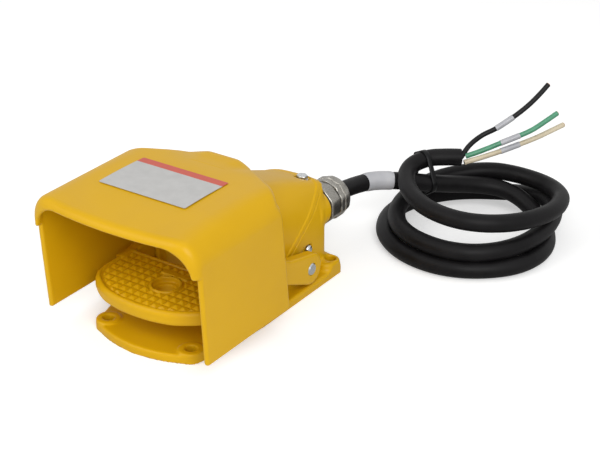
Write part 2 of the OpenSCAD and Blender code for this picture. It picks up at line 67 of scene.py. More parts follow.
Piece = bpy.types.Object
Material = bpy.types.Material
Tree = bpy.types.NodeTree
Node = bpy.types.Node
Socket = bpy.types.NodeSocket


class Body(enum.Enum):
    """The moving bodies that a piece can ride on."""

    BASE = "base"
    TREADLE = "treadle"
    PLUNGER = "switch_plunger"


# ------------------------------------------------------------------ node tools


def rgba(colour: str) -> tuple[float, float, float, float]:
    """Turns an sRGB hex colour to a linear colour.

    Args:
        colour: The colour as "#rrggbb".

    Returns:
        Linear red, green, blue and an alpha of one.
    """
    parts = [int(colour[i : i + 2], 16) / 255 for i in (1, 3, 5)]
    linear = [c / 12.92 if c <= 0.04045 else ((c + 0.055) / 1.055) ** 2.4 for c in parts]
    return linear[0], linear[1], linear[2], 1.0


def add(tree: Tree, kind: str, **wires: object) -> Node:
    """Adds a node, sets its properties and fills or links its inputs.

    Args:
        tree: The node tree.
        kind: The node's type, such as "ShaderNodeBump".
        **wires: A property's name with its value, or an input's name (spaces as "_") or
            number (as "in0") with a value or with the output socket that feeds it.

    Returns:
        The new node.
    """
    made = tree.nodes.new(kind)
    for name, value in wires.items():
        if name.startswith("in") and name[2:].isdigit():
            socket = made.inputs[int(name[2:])]
        elif hasattr(made, name) and name not in made.inputs:
            setattr(made, name, value)
            continue
        else:
            socket = made.inputs[name.replace("_", " ")]
        if isinstance(value, Socket):
            tree.links.new(value, socket)
        else:
            socket.default_value = value
    return made


def set_stops(ramp: Node, stops: Sequence[tuple[float, str]]) -> Node:
    """Writes a colour ramp's stops.

    Args:
        ramp: The ramp node.
        stops: Each stop's place and its hex colour, in rising order.

    Returns:
        The same ramp node.
    """
    elements = ramp.color_ramp.elements
    while len(elements) > len(stops):
        elements.remove(elements[-1])
    while len(elements) < len(stops):
        elements.new(1.0)
    for element, (place, colour) in zip(elements, stops):
        element.position = place
        element.color = rgba(colour)
    return ramp


def per_metre(size_mm: float) -> float:
    """Returns the texture scale that gives a pattern with features of that size."""
    return 1.0 / (size_mm * MM)


def noise(tree: Tree, where: Socket, size_mm: float, detail: float = 2.0) -> Socket:
    """Adds a noise texture.

    Args:
        tree: The node tree.
        where: The coordinates.
        size_mm: The size of its features, in millimetres.
        detail: How many finer layers it has.

    Returns:
        The texture's factor.
    """
    made = add(tree, "ShaderNodeTexNoise", in0=where, Scale=per_metre(size_mm), Detail=detail)
    return made.outputs["Fac"]


def shade(tree: Tree, factor: Socket, low: tuple[float, str], high: tuple[float, str]) -> Socket:
    """Adds a ramp between two colours.

    Args:
        tree: The node tree.
        factor: What drives the ramp.
        low: The first stop's place and hex colour.
        high: The second stop's place and hex colour.

    Returns:
        The ramp's colour.
    """
    return set_stops(add(tree, "ShaderNodeValToRGB", Fac=factor), [low, high]).outputs["Color"]


def spread(tree: Tree, value: Socket, source: Pair, target: Pair) -> Socket:
    """Maps one range of values to another.

    Args:
        tree: The node tree.
        value: The value to map.
        source: The range that it comes from.
        target: The range that it goes to.

    Returns:
        The mapped value.
    """
    made = add(
        tree, "ShaderNodeMapRange", Value=value, From_Min=source[0], From_Max=source[1],
        To_Min=target[0], To_Max=target[1],
    )
    return made.outputs[0]


def relief(tree: Tree, height: Socket, strength: float, depth_mm: float) -> Socket:
    """Adds a bump.

    Args:
        tree: The node tree.
        height: What drives the bump.
        strength: How strong it is, from 0 to 1.
        depth_mm: How deep it is, in millimetres.

    Returns:
        The bumped normal.
    """
    made = add(tree, "ShaderNodeBump", Strength=strength, Distance=depth_mm * MM, Height=height)
    return made.outputs[0]


# ------------------------------------------------------------------ finishes


@dataclass(frozen=True)
class PowderCoatedCasting:
    """Cast metal under a polyester powder coat: satin, softly pebbled, with a painted highlight on its edges.

    The eye sees one strong yellow that is a little paler on convex edges, a painted highlight, and a
    fine orange peel that breaks up highlights.
    """

    name: str = "powder_coated_casting_yellow"
    colour: str = "#D4A50A"
    deep: str = "#CFA006"
    # The paler yellow painted on convex edges: a painted highlight
    edge: str = "#DCB01E"
    peel_mm: float = 1.6
    mottle_mm: float = 60.0
    roughness: float = 0.38

    def build(self) -> Material:
        """Builds the material.

        Returns:
            The material.
        """
        material, tree, shader = new_material(self.name)
        where = add(tree, "ShaderNodeTexCoord").outputs["Object"]
        mottle = noise(tree, where, self.mottle_mm, 3.0)
        body = shade(tree, mottle, (0.30, self.deep), (0.62, self.colour))
        # Convex edges, found from the mesh's pointiness, are painted the paler edge colour: a painted highlight
        convexity = add(tree, "ShaderNodeNewGeometry").outputs["Pointiness"]
        rims = spread(tree, convexity, (0.54, 0.64), (0.0, 1.0))
        coat = add(tree, "ShaderNodeMix", data_type="RGBA", in0=rims, in6=body, in7=rgba(self.edge))
        sheen = spread(tree, mottle, (0.3, 0.7), (self.roughness - 0.05, self.roughness + 0.07))
        peel = relief(tree, noise(tree, where, self.peel_mm), 0.16, 0.4)
        wire(tree, shader, Base_Color=coat.outputs[2], Roughness=sheen, Normal=peel)
        shader.inputs["IOR"].default_value = 1.45
        shader.inputs["Specular IOR Level"].default_value = 0.26
        return material


@dataclass(frozen=True)
class MetalFinish:
    """Bare or plated metal, as its name says, with its own grain.

    The eye sees a mirror that is dulled and streaked by how the metal was cut, cast or plated.
    """

    name: str
    light: str
    dark: str
    roughness: float
    grain_mm: float
    stretch: tuple[float, float, float] = (1.0, 1.0, 1.0)
    bump: float = 0.1

    def build(self) -> Material:
        """Builds the material.

        Returns:
            The material.
        """
        material, tree, shader = new_material(self.name)
        where = add(tree, "ShaderNodeTexCoord").outputs["Object"]
        along = add(tree, "ShaderNodeMapping", Vector=where, Scale=self.stretch)
        grain = noise(tree, along.outputs[0], self.grain_mm, 4.0)
        tone = shade(tree, grain, (0.25, self.dark), (0.65, self.light))
        rough = spread(tree, grain, (0.25, 0.75), (self.roughness * 0.8, self.roughness * 1.3))
        wire(
            tree, shader, Base_Color=tone, Roughness=rough, Normal=relief(tree, grain, self.bump, 0.2)
        )
        shader.inputs["Metallic"].default_value = 1.0
        return material


@dataclass(frozen=True)
class PolymerFinish:
    """A rubber or plastic as its name says, with a fine extruded or moulded grain.

    The eye sees a dull or glossy body colour with small changes of shade and gloss.
    """

    name: str
    light: str
    dark: str
    roughness: float
    grain_mm: float
    bump: float = 0.2
    ior: float = 1.5
    level: float = 0.5

    def build(self) -> Material:
        """Builds the material.

        Returns:
            The material.
        """
        material, tree, shader = new_material(self.name)
        where = add(tree, "ShaderNodeTexCoord").outputs["Object"]
        grain = noise(tree, where, self.grain_mm, 3.0)
        cloud = noise(tree, where, self.grain_mm * 14)
        tone = shade(tree, cloud, (0.3, self.dark), (0.7, self.light))
        rough = spread(tree, cloud, (0.3, 0.7), (self.roughness - 0.06, self.roughness + 0.06))
        wire(
            tree, shader, Base_Color=tone, Roughness=rough, Normal=relief(tree, grain, self.bump, 0.3)
        )
        shader.inputs["IOR"].default_value = self.ior
        shader.inputs["Specular IOR Level"].default_value = self.level
        return material


@dataclass(frozen=True)
class PrintedVinylLabel:
    """Calendered vinyl film, white with one plain printed band.

    The eye sees a flat satin white that mirrors the sky a little more than the coat round
    it, and a red band along the rear edge.
    """

    name: str = "printed_vinyl_label"
    white: str = "#BAB9B7"
    white_dull: str = "#B2B1AF"
    band: str = "#C24A33"
    band_dull: str = "#BC4530"
    band_mm: float = 8.0
    depth_mm: float = 52.0
    blotch_mm: float = 9.0
    grain_mm: float = 2.5

    def build(self) -> Material:
        """Builds the material.

        Returns:
            The material.
        """
        material, tree, shader = new_material(self.name)
        where = add(tree, "ShaderNodeTexCoord").outputs["Object"]
        across = add(tree, "ShaderNodeUVMap").outputs["UV"]
        height = add(tree, "ShaderNodeSeparateXYZ", Vector=across).outputs["Y"]
        start = 1.0 - self.band_mm / self.depth_mm
        edge = add(tree, "ShaderNodeMath", operation="GREATER_THAN", in0=height, in1=start)
        blotch = noise(tree, where, self.blotch_mm)
        film = shade(tree, blotch, (0.3, self.white_dull), (0.7, self.white))
        ink = shade(tree, blotch, (0.3, self.band_dull), (0.7, self.band))
        print_side = add(tree, "ShaderNodeMix", data_type="RGBA", in0=edge.outputs[0], in6=film, in7=ink)
        grain = relief(tree, noise(tree, where, self.grain_mm), 0.08, 0.2)
        wire(tree, shader, Base_Color=print_side.outputs[2], Normal=grain)
        shader.inputs["Roughness"].default_value = 0.42
        return material


def new_material(name: str) -> tuple[Material, Tree, Node]:
    """Makes an empty node material with a Principled shader wired to its output.

    Args:
        name: The material's name.

    Returns:
        The material, its node tree and its shader.
    """
    material = bpy.data.materials.new(name)
    material.use_nodes = True
    tree = material.node_tree
    tree.nodes.clear()
    shader = tree.nodes.new("ShaderNodeBsdfPrincipled")
    output = tree.nodes.new("ShaderNodeOutputMaterial")
    tree.links.new(shader.outputs[0], output.inputs[0])
    return material, tree, shader


def wire(tree: Tree, shader: Node, **sockets: Socket) -> None:
    """Links outputs to a shader.

    Args:
        tree: The node tree.
        shader: The shader.
        **sockets: Each input's name, with "_" for a space, and the output that feeds it.
    """
    for name, source in sockets.items():
        tree.links.new(source, shader.inputs[name.replace("_", " ")])


# Extruded synthetic rubber: near black with a dull bloom
RUBBER_JACKET = PolymerFinish("extruded_rubber_jacket", "#171617", "#0F0E0F", 0.46, 1.2, 0.22, 1.5, 0.12)
# Moulded neoprene: blacker and duller than the jacket
NEOPRENE = PolymerFinish("moulded_neoprene", "#1E1E1E", "#141414", 0.6, 0.9, 0.3, 1.5)
# Moulded nylon: black with a small gloss
NYLON = PolymerFinish("moulded_nylon_black", "#131314", "#0B0B0C", 0.4, 1.0, 0.1, 1.53, 0.14)
# Phenolic moulding: brown-black and fairly glossy
PHENOLIC = PolymerFinish("moulded_phenolic", "#231A15", "#17110D", 0.34, 0.8, 0.1, 1.6)
# Thermoplastic insulation on the conductors, drawn smooth
BLACK_PVC = PolymerFinish("extruded_insulation_black", "#161617", "#0F0F10", 0.42, 0.8, 0.1, 1.53, 0.18)
GREEN_PVC = PolymerFinish("extruded_insulation_green", "#4C9472", "#3D8261", 0.40, 0.8, 0.1, 1.53)
WHITE_PVC = PolymerFinish("extruded_insulation_white", "#D2C6AC", "#C2B498", 0.42, 0.8, 0.1, 1.53)
# Heat-shrunk marker sleeve: off-white with a soft shine
SLEEVE = PolymerFinish("shrunk_marker_sleeve", "#BDBDC0", "#A2A3A8", 0.35, 1.6, 0.2, 1.5)
# Acetal button of the switch
RED_ACETAL = PolymerFinish("moulded_acetal_red", "#A8231C", "#8C1A15", 0.3, 0.7, 0.05, 1.48)
# Die-cast zinc gland: bright grey with a faint cast skin, turned round its axis
CAST_ZINC = MetalFinish("die_cast_zinc", "#A6A39C", "#5C5A56", 0.33, 1.1, (1.0, 4.0, 1.0), 0.5)
# Zinc-plated steel: bluish and bright
PLATED_STEEL = MetalFinish("zinc_plated_steel", "#D0D2D3", "#A2A5A8", 0.26, 0.8, (1, 1, 1), 0.12)
# Ground and polished steel pin
GROUND_STEEL = MetalFinish("ground_steel", "#C4C9CC", "#9CA3A8", 0.22, 0.6, (0.2, 1.0, 1.0), 0.08)
# Turned brass: yellow and finely ringed
TURNED_BRASS = MetalFinish("turned_brass", "#D9B566", "#A98540", 0.28, 0.5, (4.0, 1.0, 1.0), 0.12)
# Drawn spring wire: dark grey
SPRING_WIRE = MetalFinish("drawn_spring_wire", "#8E8E8C", "#5E5E5C", 0.32, 0.5, (1, 1, 1), 0.1)
# Bare copper strands at a conductor's cut end
COPPER = MetalFinish("drawn_copper_strand", "#C98A5E", "#8C5530", 0.3, 0.4, (1, 1, 1), 0.3)


class FinishShop:
    """Builds each finish once and hands it out."""

    def __init__(self) -> None:
        """Starts with no finishes built."""
        self._made: dict[str, Material] = {}

    def get(self, finish: object) -> Material:
        """Hands out a finish.

        Args:
            finish: The finish.

        Returns:
            Its material, built at its first use.
        """
        if finish.name not in self._made:
            self._made[finish.name] = finish.build()
        return self._made[finish.name]


SHOP = FinishShop()


# ------------------------------------------------------------------ mesh tools


def object_from(
    name: str,
    points: Array,
    faces: Sequence[Sequence[int]] | Array,
    finish: object,
    normals: Array | None = None,
) -> Piece:
    """Makes a smooth-shaded mesh object from points in millimetres.

    Args:
        name: The object's name.
        points: The vertices, in millimetres.
        faces: Each face's vertex numbers.
        finish: The finish that it is dressed in.
        normals: The vertices' own normals, where the surface gives them.

    Returns:
        The new object, linked to the scene.
    """
    mesh = bpy.data.meshes.new(name)
    loops = faces.tolist() if isinstance(faces, Array) else [list(f) for f in faces]
    mesh.from_pydata((np.asarray(points, float) * MM).tolist(), [], loops)
    mesh.validate()
    mesh.shade_smooth()
    if normals is not None and len(mesh.vertices) == len(normals):
        mesh.normals_split_custom_set_from_vertices(normals.tolist())
    made = bpy.data.objects.new(name, mesh)
    bpy.context.scene.collection.objects.link(made)
    made.data.materials.append(SHOP.get(finish))
    return made


def turned(profile: Sequence[Pair], sides: int = 64, flutes: int = 0, flute_depth: float = 0.0) -> Form:
    """Turns a closed profile round the Z axis.

    Args:
        profile: Radius and height of each point, in millimetres, in order round the section.
        sides: How many steps go round.
        flutes: How many shallow flutes the outside has.
        flute_depth: How deep a flute is.

    Returns:
        Vertices and faces.
    """
    count = len(profile)
    points, faces = [], []
    outer = max(r for r, _ in profile)
    for step in range(sides):
        angle = 2 * math.pi * step / sides
        cut = flute_depth * (0.5 + 0.5 * math.cos(flutes * angle)) if flutes else 0.0
        for radius, height in profile:
            r = radius - cut if flutes and radius > outer - 1.0 else radius
            points.append((r * math.cos(angle), r * math.sin(angle), height))
        after = (step + 1) % sides
        for i in range(count):
            j = (i + 1) % count
            faces.append([step * count + i, after * count + i, after * count + j, step * count + j])
    return np.array(points), faces


def rounded_profile(inner: float, outer: float, low: float, high: float, radius: float) -> list[Pair]:
    """Draws the section of a ring or disc with softened outer corners.

    Args:
        inner: The bore's radius, or a tiny number for a disc.
        outer: The outer radius.
        low: The lower face's height.
        high: The upper face's height.
        radius: The corners' radius.

    Returns:
        The profile's points, for turned().
    """
    points = [(inner, low)]
    for k in range(5):
        a = math.pi / 2 * k / 4
        points.append((outer - radius + radius * math.sin(a), low + radius - radius * math.cos(a)))
    for k in range(5):
        a = math.pi / 2 * k / 4
        points.append((outer - radius + radius * math.cos(a), high - radius + radius * math.sin(a)))
    points.append((inner, high))
    return points


def aim(points: Array, place: Point, axis: str) -> Array:
    """Turns points made round +Z onto another axis and moves them.

    Args:
        points: The points.
        place: Where the origin goes.
        axis: "x", "-x", "y", "z" or another key of the table below.

    Returns:
        The moved points.
    """
    turns = {
        "z": ((1, 0, 0), (0, 1, 0), (0, 0, 1)),
        "y": ((-1, 0, 0), (0, 0, 1), (0, 1, 0)),
        "x": ((0, 1, 0), (0, 0, 1), (1, 0, 0)),
        "-x": ((0, 0, 1), (0, 1, 0), (-1, 0, 0)),
    }
    return points @ np.array(turns[axis], float) + np.array(place, float)


def between(a: Number, b: Number, c: Number, d: Number, t: float) -> Number:
    """Returns a smooth curve's value a share t of the way from b to c."""
    bend = (2 * a - 5 * b + 4 * c - d) * t**2 + (3 * b - a - 3 * c + d) * t**3
    return 0.5 * (2 * b + (c - a) * t + bend)


def smooth_route(points: Sequence[Point], step: float = 3.0) -> Array:
    """Runs one smooth curve through the points and cuts it into even steps.

    Args:
        points: The points that the curve passes.
        step: The distance between two points of the result, in millimetres.

    Returns:
        The even points.
    """
    p = np.array(points, float)
    ends = np.vstack([2 * p[0] - p[1], p, 2 * p[-1] - p[-2]])
    fine = []
    for i in range(1, len(ends) - 2):
        a, b, c, d = ends[i - 1 : i + 3]
        fine += [between(a, b, c, d, t) for t in np.linspace(0, 1, 16, endpoint=False)]
    fine.append(p[-1])
    fine = np.array(fine)
    run = travelled(fine)
    count = max(2, int(round(run[-1] / step)) + 1)
    where = np.linspace(0, run[-1], count)
    return np.stack([np.interp(where, run, fine[:, k]) for k in range(3)], axis=1)


def travelled(points: Array) -> Array:
    """Returns the length of the way from a route's first point to each of its points."""
    return np.concatenate([[0], np.cumsum(np.linalg.norm(np.diff(points, axis=0), axis=1))])


def route_length(points: Array) -> float:
    """Returns a route's length."""
    return float(travelled(points)[-1])


def swept(route: Array, radius: float | Array, sides: int = 20, swell: float = 0.0) -> Form:
    """Sweeps a round section along a route, with closed, softly rounded ends.

    Args:
        route: The centreline.
        radius: The radius, or one for each point.
        sides: How many sides go round.
        swell: How far the section is out of round.

    Returns:
        Vertices and faces.
    """
    count = len(route)
    radii = np.full(count, radius) if np.isscalar(radius) else np.asarray(radius, float)
    way = np.gradient(route, axis=0)
    way /= np.linalg.norm(way, axis=1)[:, None]
    up = np.array([0.0, 0.0, 1.0])
    side = np.cross(way[0], up)
    side /= np.linalg.norm(side)
    points = []
    for i in range(count):
        side = side - way[i] * (side @ way[i])
        side /= np.linalg.norm(side)
        lift = np.cross(side, way[i])
        for k in range(sides):
            a = 2 * math.pi * k / sides
            r = radii[i] * (1 + swell * math.cos(2 * a + 0.07 * i))
            points.append(route[i] + r * (math.cos(a) * side + math.sin(a) * lift))
    faces = [
        [i * sides + k, i * sides + (k + 1) % sides, (i + 1) * sides + (k + 1) % sides, (i + 1) * sides + k]
        for i in range(count - 1)
        for k in range(sides)
    ]
    faces.append(list(range(sides))[::-1])
    faces.append([(count - 1) * sides + k for k in range(sides)])
    return np.array(points), faces


def join_parts(parts: Iterable[Form]) -> Form:
    """Puts several meshes into one.

    Args:
        parts: Each mesh's vertices and faces.

    Returns:
        Vertices and faces of them all.
    """
    points, faces, start = [], [], 0
    for p, f in parts:
        points.append(p)
        faces.extend([[start + i for i in one] for one in f])
        start += len(p)
    return np.vstack(points), faces


def settle(piece: Piece, body: Body, slot: str, *nodes: str) -> Piece:
    """Gives a finished piece its body and hides the CAD nodes that it stands for.

    Args:
        piece: The piece.
        body: The body that it rides on.
        slot: Its material slot; not used.
        *nodes: The CAD nodes that it replaces.

    Returns:
        The same piece.
    """
    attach(piece, body.value)
    if nodes:
        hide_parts(*nodes)
    log.info("%s: %d faces", piece.name, len(piece.data.polygons) if piece.type == "MESH" else 0)
    return piece


def fit(
    name: str, form: Form, finish: object, slot: str, *nodes: str, body: Body = Body.BASE, sharp: float = 0.0
) -> Piece:
    """Makes a piece, marks its sharp edges and settles it.

    Args:
        name: The piece's name.
        form: Its vertices, in millimetres, and its faces.
        finish: The finish that it is dressed in.
        slot: Its material slot.
        *nodes: The CAD nodes that it replaces.
        body: The body that it rides on.
        sharp: The angle from which an edge is sharp, or 0 for a soft piece.

    Returns:
        The piece.
    """
    piece = object_from(name, form[0], form[1], finish)
    if sharp:
        sharpen(piece, sharp)
    return settle(piece, body, slot, *nodes)


def dress(finish: object, *nodes: str) -> None:
    """Gives carried-over solids their finish.

    Args:
        finish: The finish.
        *nodes: The CAD nodes.
    """
    for name in nodes:
        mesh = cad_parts[name].data
        mesh.materials.clear()
        mesh.materials.append(SHOP.get(finish))
        log.info("%s: %s", name, finish.name)


# ------------------------------------------------------------------ solids as distance fields


def smooth_max(a: Array, b: Array, k: float) -> Array:
    """Returns the larger of two fields, rounded over a width of k where they meet."""
    h = np.clip(k - np.abs(a - b), 0.0, None) / k
    return np.maximum(a, b) + h * h * k / 4


def smooth_min(a: Array, b: Array, k: float) -> Array:
    """Returns the smaller of two fields, filleted over a width of k where they meet."""
    return -smooth_max(-a, -b, k)


def disc(u: Array, v: Array, centre: Pair, radius: float) -> Array:
    """Returns the distance to a circle drawn in two of the axes."""
    return np.hypot(u - centre[0], v - centre[1]) - radius


def slab(w: Array, low: float, high: float) -> Array:
    """Returns the distance to the layer between two values of one axis."""
    return np.abs(w - (low + high) / 2) - (high - low) / 2


def round_box(u: Array, v: Array, low: Pair, high: Pair, radius: float | Array) -> Array:
    """Returns the distance to a rectangle with rounded corners.

    Args:
        u: The first axis.
        v: The second axis.
        low: The lower corner.
        high: The upper corner.
        radius: The corners' radius, or one for each point.

    Returns:
        The distance.
    """
    q = np.abs(u - (low[0] + high[0]) / 2) - (high[0] - low[0]) / 2 + radius
    r = np.abs(v - (low[1] + high[1]) / 2) - (high[1] - low[1]) / 2 + radius
    return np.minimum(np.maximum(q, r), 0) + np.hypot(np.maximum(q, 0), np.maximum(r, 0)) - radius


def arch(x: Array, z: Array, half: float, top: float, radius: float, bottom: float) -> Array:
    """Returns the distance to a door-shaped outline, rounded above and square below."""
    upper = np.where(z > (top + bottom) / 2, radius, 0.5)
    return round_box(x, z, (-half, bottom), (half, top), upper)


def outline(u: Array, v: Array, corners: Sequence[Pair]) -> Array:
    """Returns the distance to a polygon, negative inside.

    Args:
        u: The first axis.
        v: The second axis.
        corners: The polygon's corners in order.

    Returns:
        The distance.
    """
    nearest = np.full(u.shape, 1e9, u.dtype)
    inside = np.zeros(u.shape, bool)
    for i, (bu, bv) in enumerate(corners):
        au, av = corners[i - 1]
        eu, ev = bu - au, bv - av
        wu, wv = u - au, v - av
        t = np.clip((wu * eu + wv * ev) / (eu * eu + ev * ev), 0, 1)
        nearest = np.minimum(nearest, (wu - t * eu) ** 2 + (wv - t * ev) ** 2)
        if av != bv:
            inside ^= ((av > v) != (bv > v)) & (wu < eu * wv / ev)
    return np.where(inside, -1.0, 1.0) * np.sqrt(nearest)


def link(u: Array, v: Array, a: Pair, ra: float, b: Pair, rb: float) -> Array:
    """Returns the distance to a bar between two circles.

    Args:
        u: The first axis.
        v: The second axis.
        a: The first circle's centre.
        ra: Its radius.
        b: The second circle's centre.
        rb: Its radius.

    Returns:
        The distance.
    """
    eu, ev = b[0] - a[0], b[1] - a[1]
    t = np.clip(((u - a[0]) * eu + (v - a[1]) * ev) / (eu * eu + ev * ev), 0, 1)
    return np.hypot(u - a[0] - t * eu, v - a[1] - t * ev) - (ra + (rb - ra) * t)


class WrappedForm:
    """The skin stretched over a set of points, as a distance field with softened edges."""

    def __init__(self, points: Array, soft: float) -> None:
        """Finds the skin's flat faces.

        Args:
            points: The points that the skin is stretched over.
            soft: The softness of its edges, in millimetres.
        """
        shell = bmesh.new()
        for p in points:
            shell.verts.new(Vector(p.tolist()))
        bmesh.ops.convex_hull(shell, input=list(shell.verts))
        found: dict[tuple[float, ...], tuple[Array, float]] = {}
        for face in shell.faces:
            face.normal_update()
            if face.calc_area() < 0.05:
                continue
            normal = np.array(face.normal)
            offset = float((points @ normal).max())
            found.setdefault(tuple(np.round(normal, 2)), (normal, offset))
        shell.free()
        self.normals = np.array([n for n, _ in found.values()], np.float32)
        self.offsets = np.array([o for _, o in found.values()], np.float32)
        self.soft = soft

    def __call__(self, p: Array) -> Array:
        """Works out the distance, one batch of points after another.

        Args:
            p: The points.

        Returns:
            The distance at each point.
        """
        out = np.empty(len(p), np.float32)
        batch = 60000
        for i in range(0, len(p), batch):
            away = p[i : i + batch] @ self.normals.T - self.offsets
            top = away.max(axis=1, keepdims=True)
            soft_top = self.soft * np.log(np.exp((away - top) / self.soft).sum(axis=1))
            out[i : i + batch] = top[:, 0] + soft_top
        return out


def skin(shape: Field, low: Point, high: Point, step: float) -> tuple[Array, Array, Array]:
    """Draws a mesh over the zero surface of a field.

    Args:
        shape: The distance field.
        low: The lowest corner of the space to look in.
        high: The highest corner.
        step: The size of one cell, in millimetres.

    Returns:
        Vertices, four-sided faces and the surface's normals at the vertices.
    """
    low_corner = np.array(low, np.float32) - 1.5 * step
    count = np.ceil((np.array(high) - low_corner) / step).astype(int) + 3
    axes = [low_corner[k] + step * np.arange(count[k], dtype=np.float32) for k in range(3)]
    far = np.empty(count, np.float32)
    for i, x in enumerate(axes[0]):
        yy, zz = np.meshgrid(axes[1], axes[2], indexing="ij")
        layer = np.stack([np.full(yy.size, x, np.float32), yy.ravel(), zz.ravel()], axis=1)
        far[i] = shape(layer).reshape(yy.shape)
    inside = far < 0
    cells = tuple(count - 1)
    hits = np.zeros(cells, np.float32)
    place = np.zeros((*cells, 3), np.float32)
    corners = [(i, j, k) for i in (0, 1) for j in (0, 1) for k in (0, 1)]

    def cut(corner: tuple[int, int, int]) -> tuple[slice, ...]:
        """Returns the slices that give every cell's value at one of its corners."""
        return tuple(slice(corner[k], corner[k] + cells[k]) for k in range(3))

    for a in corners:
        for axis in range(3):
            if a[axis]:
                continue
            b = tuple(a[k] + (k == axis) for k in range(3))
            d0, d1 = far[cut(a)], far[cut(b)]
            crossed = inside[cut(a)] != inside[cut(b)]
            t = np.where(crossed, d0 / np.where(crossed, d0 - d1, 1), 0)
            hits += crossed
            for k in range(3):
                place[..., k] += np.where(crossed, a[k] + (t if k == axis else 0), 0)
    active = hits > 0
    number = np.full(cells, -1, np.int64)
    number[active] = np.arange(active.sum())
    base = np.argwhere(active).astype(np.float32)
    points = low_corner + step * (base + place[active] / hits[active][:, None])
    faces = []
    for axis in range(3):
        one, two = (axis + 1) % 3, (axis + 2) % 3
        inner = tuple(slice(None, -1) if k == axis else slice(1, -1) for k in range(3))
        after = tuple(slice(1, None) if k == axis else slice(1, -1) for k in range(3))
        a, b = inside[inner], inside[after]
        spots = np.argwhere(a != b)
        spots[:, one] += 1
        spots[:, two] += 1
        outward = a[a != b]
        ring = []
        for du, dv in ((0, 0), (1, 0), (1, 1), (0, 1)):
            s = spots.copy()
            s[:, one] -= du
            s[:, two] -= dv
            ring.append(number[s[:, 0], s[:, 1], s[:, 2]])
        quads = np.stack(ring, axis=1)
        quads = np.where(outward[:, None], quads, quads[:, ::-1])
        faces.append(quads[(quads >= 0).all(axis=1)])
    for _ in range(4):
        normal = slope(shape, points)
        size = np.maximum((normal**2).sum(axis=1), 0.05)
        move = np.clip(shape(points) / size, -0.4 * step, 0.4 * step)
        points = (points - move[:, None] * normal).astype(np.float32)
    normal = slope(shape, points)
    normal /= np.maximum(np.linalg.norm(normal, axis=1), 1e-6)[:, None]
    return points, np.vstack(faces), normal


def slope(shape: Field, points: Array) -> Array:
    """Works out a field's gradient.

    Args:
        shape: The distance field.
        points: The points.

    Returns:
        The gradient at each point.
    """
    reach = 0.12
    out = np.empty((len(points), 3), np.float32)
    for k in range(3):
        off = np.zeros(3, np.float32)
        off[k] = reach
        out[:, k] = (shape(points + off) - shape(points - off)) / (2 * reach)
    return out


def cell(fine: float) -> float:
    """Returns the cell size as given."""
    return fine


# ------------------------------------------------------------------ castings


@dataclass
class Housing:
    """The hollow form that the base and the cover share, and the plane that parts them."""

    half_width: float = 46.0
    front_y: float = 12.0
    rear_y: float = 107.0
    wall: float = 5.0
    slope_deg: float = 36.7
    part_y: float = 47.0
    part_z: float = 29.0
    form: WrappedForm = field(init=False)

    def __post_init__(self) -> None:
        """Stretches the skin over the front arches and the rear bosses."""
        points = []
        turn = np.radians(np.arange(0, 360, 15))
        for y, top in ((self.front_y, 104.0), (13.0, 104.0), (27.0, 102.0)):
            points += [(s * self.half_width, y, 0.0) for s in (-1, 1)]
            for a in np.radians(np.arange(0, 91, 15)):
                for s in (-1, 1):
                    points.append((s * (10 + 36 * math.cos(a)), y, top - 36 + 36 * math.sin(a)))
        for cx, cz, r in ((33.0, 68.0, 8.0), (5.0, 40.0, 36.0)):
            for y in (98.0, self.rear_y):
                points += [(cx + r * math.cos(a), y, cz + r * math.sin(a)) for a in turn]
        for s in (-1, 1):
            for z in (0.0, 54.0):
                points += [(s * 38 + 8 * math.cos(a), 98.5 + 8 * math.sin(a), z) for a in turn]
        self.form = WrappedForm(np.array(points), 0.6)

    def above(self, p: Array) -> Array:
        """Returns the height over the parting plane."""
        a = math.radians(self.slope_deg)
        return (p[:, 2] - self.part_z) * math.cos(a) - (p[:, 1] - self.part_y) * math.sin(a)


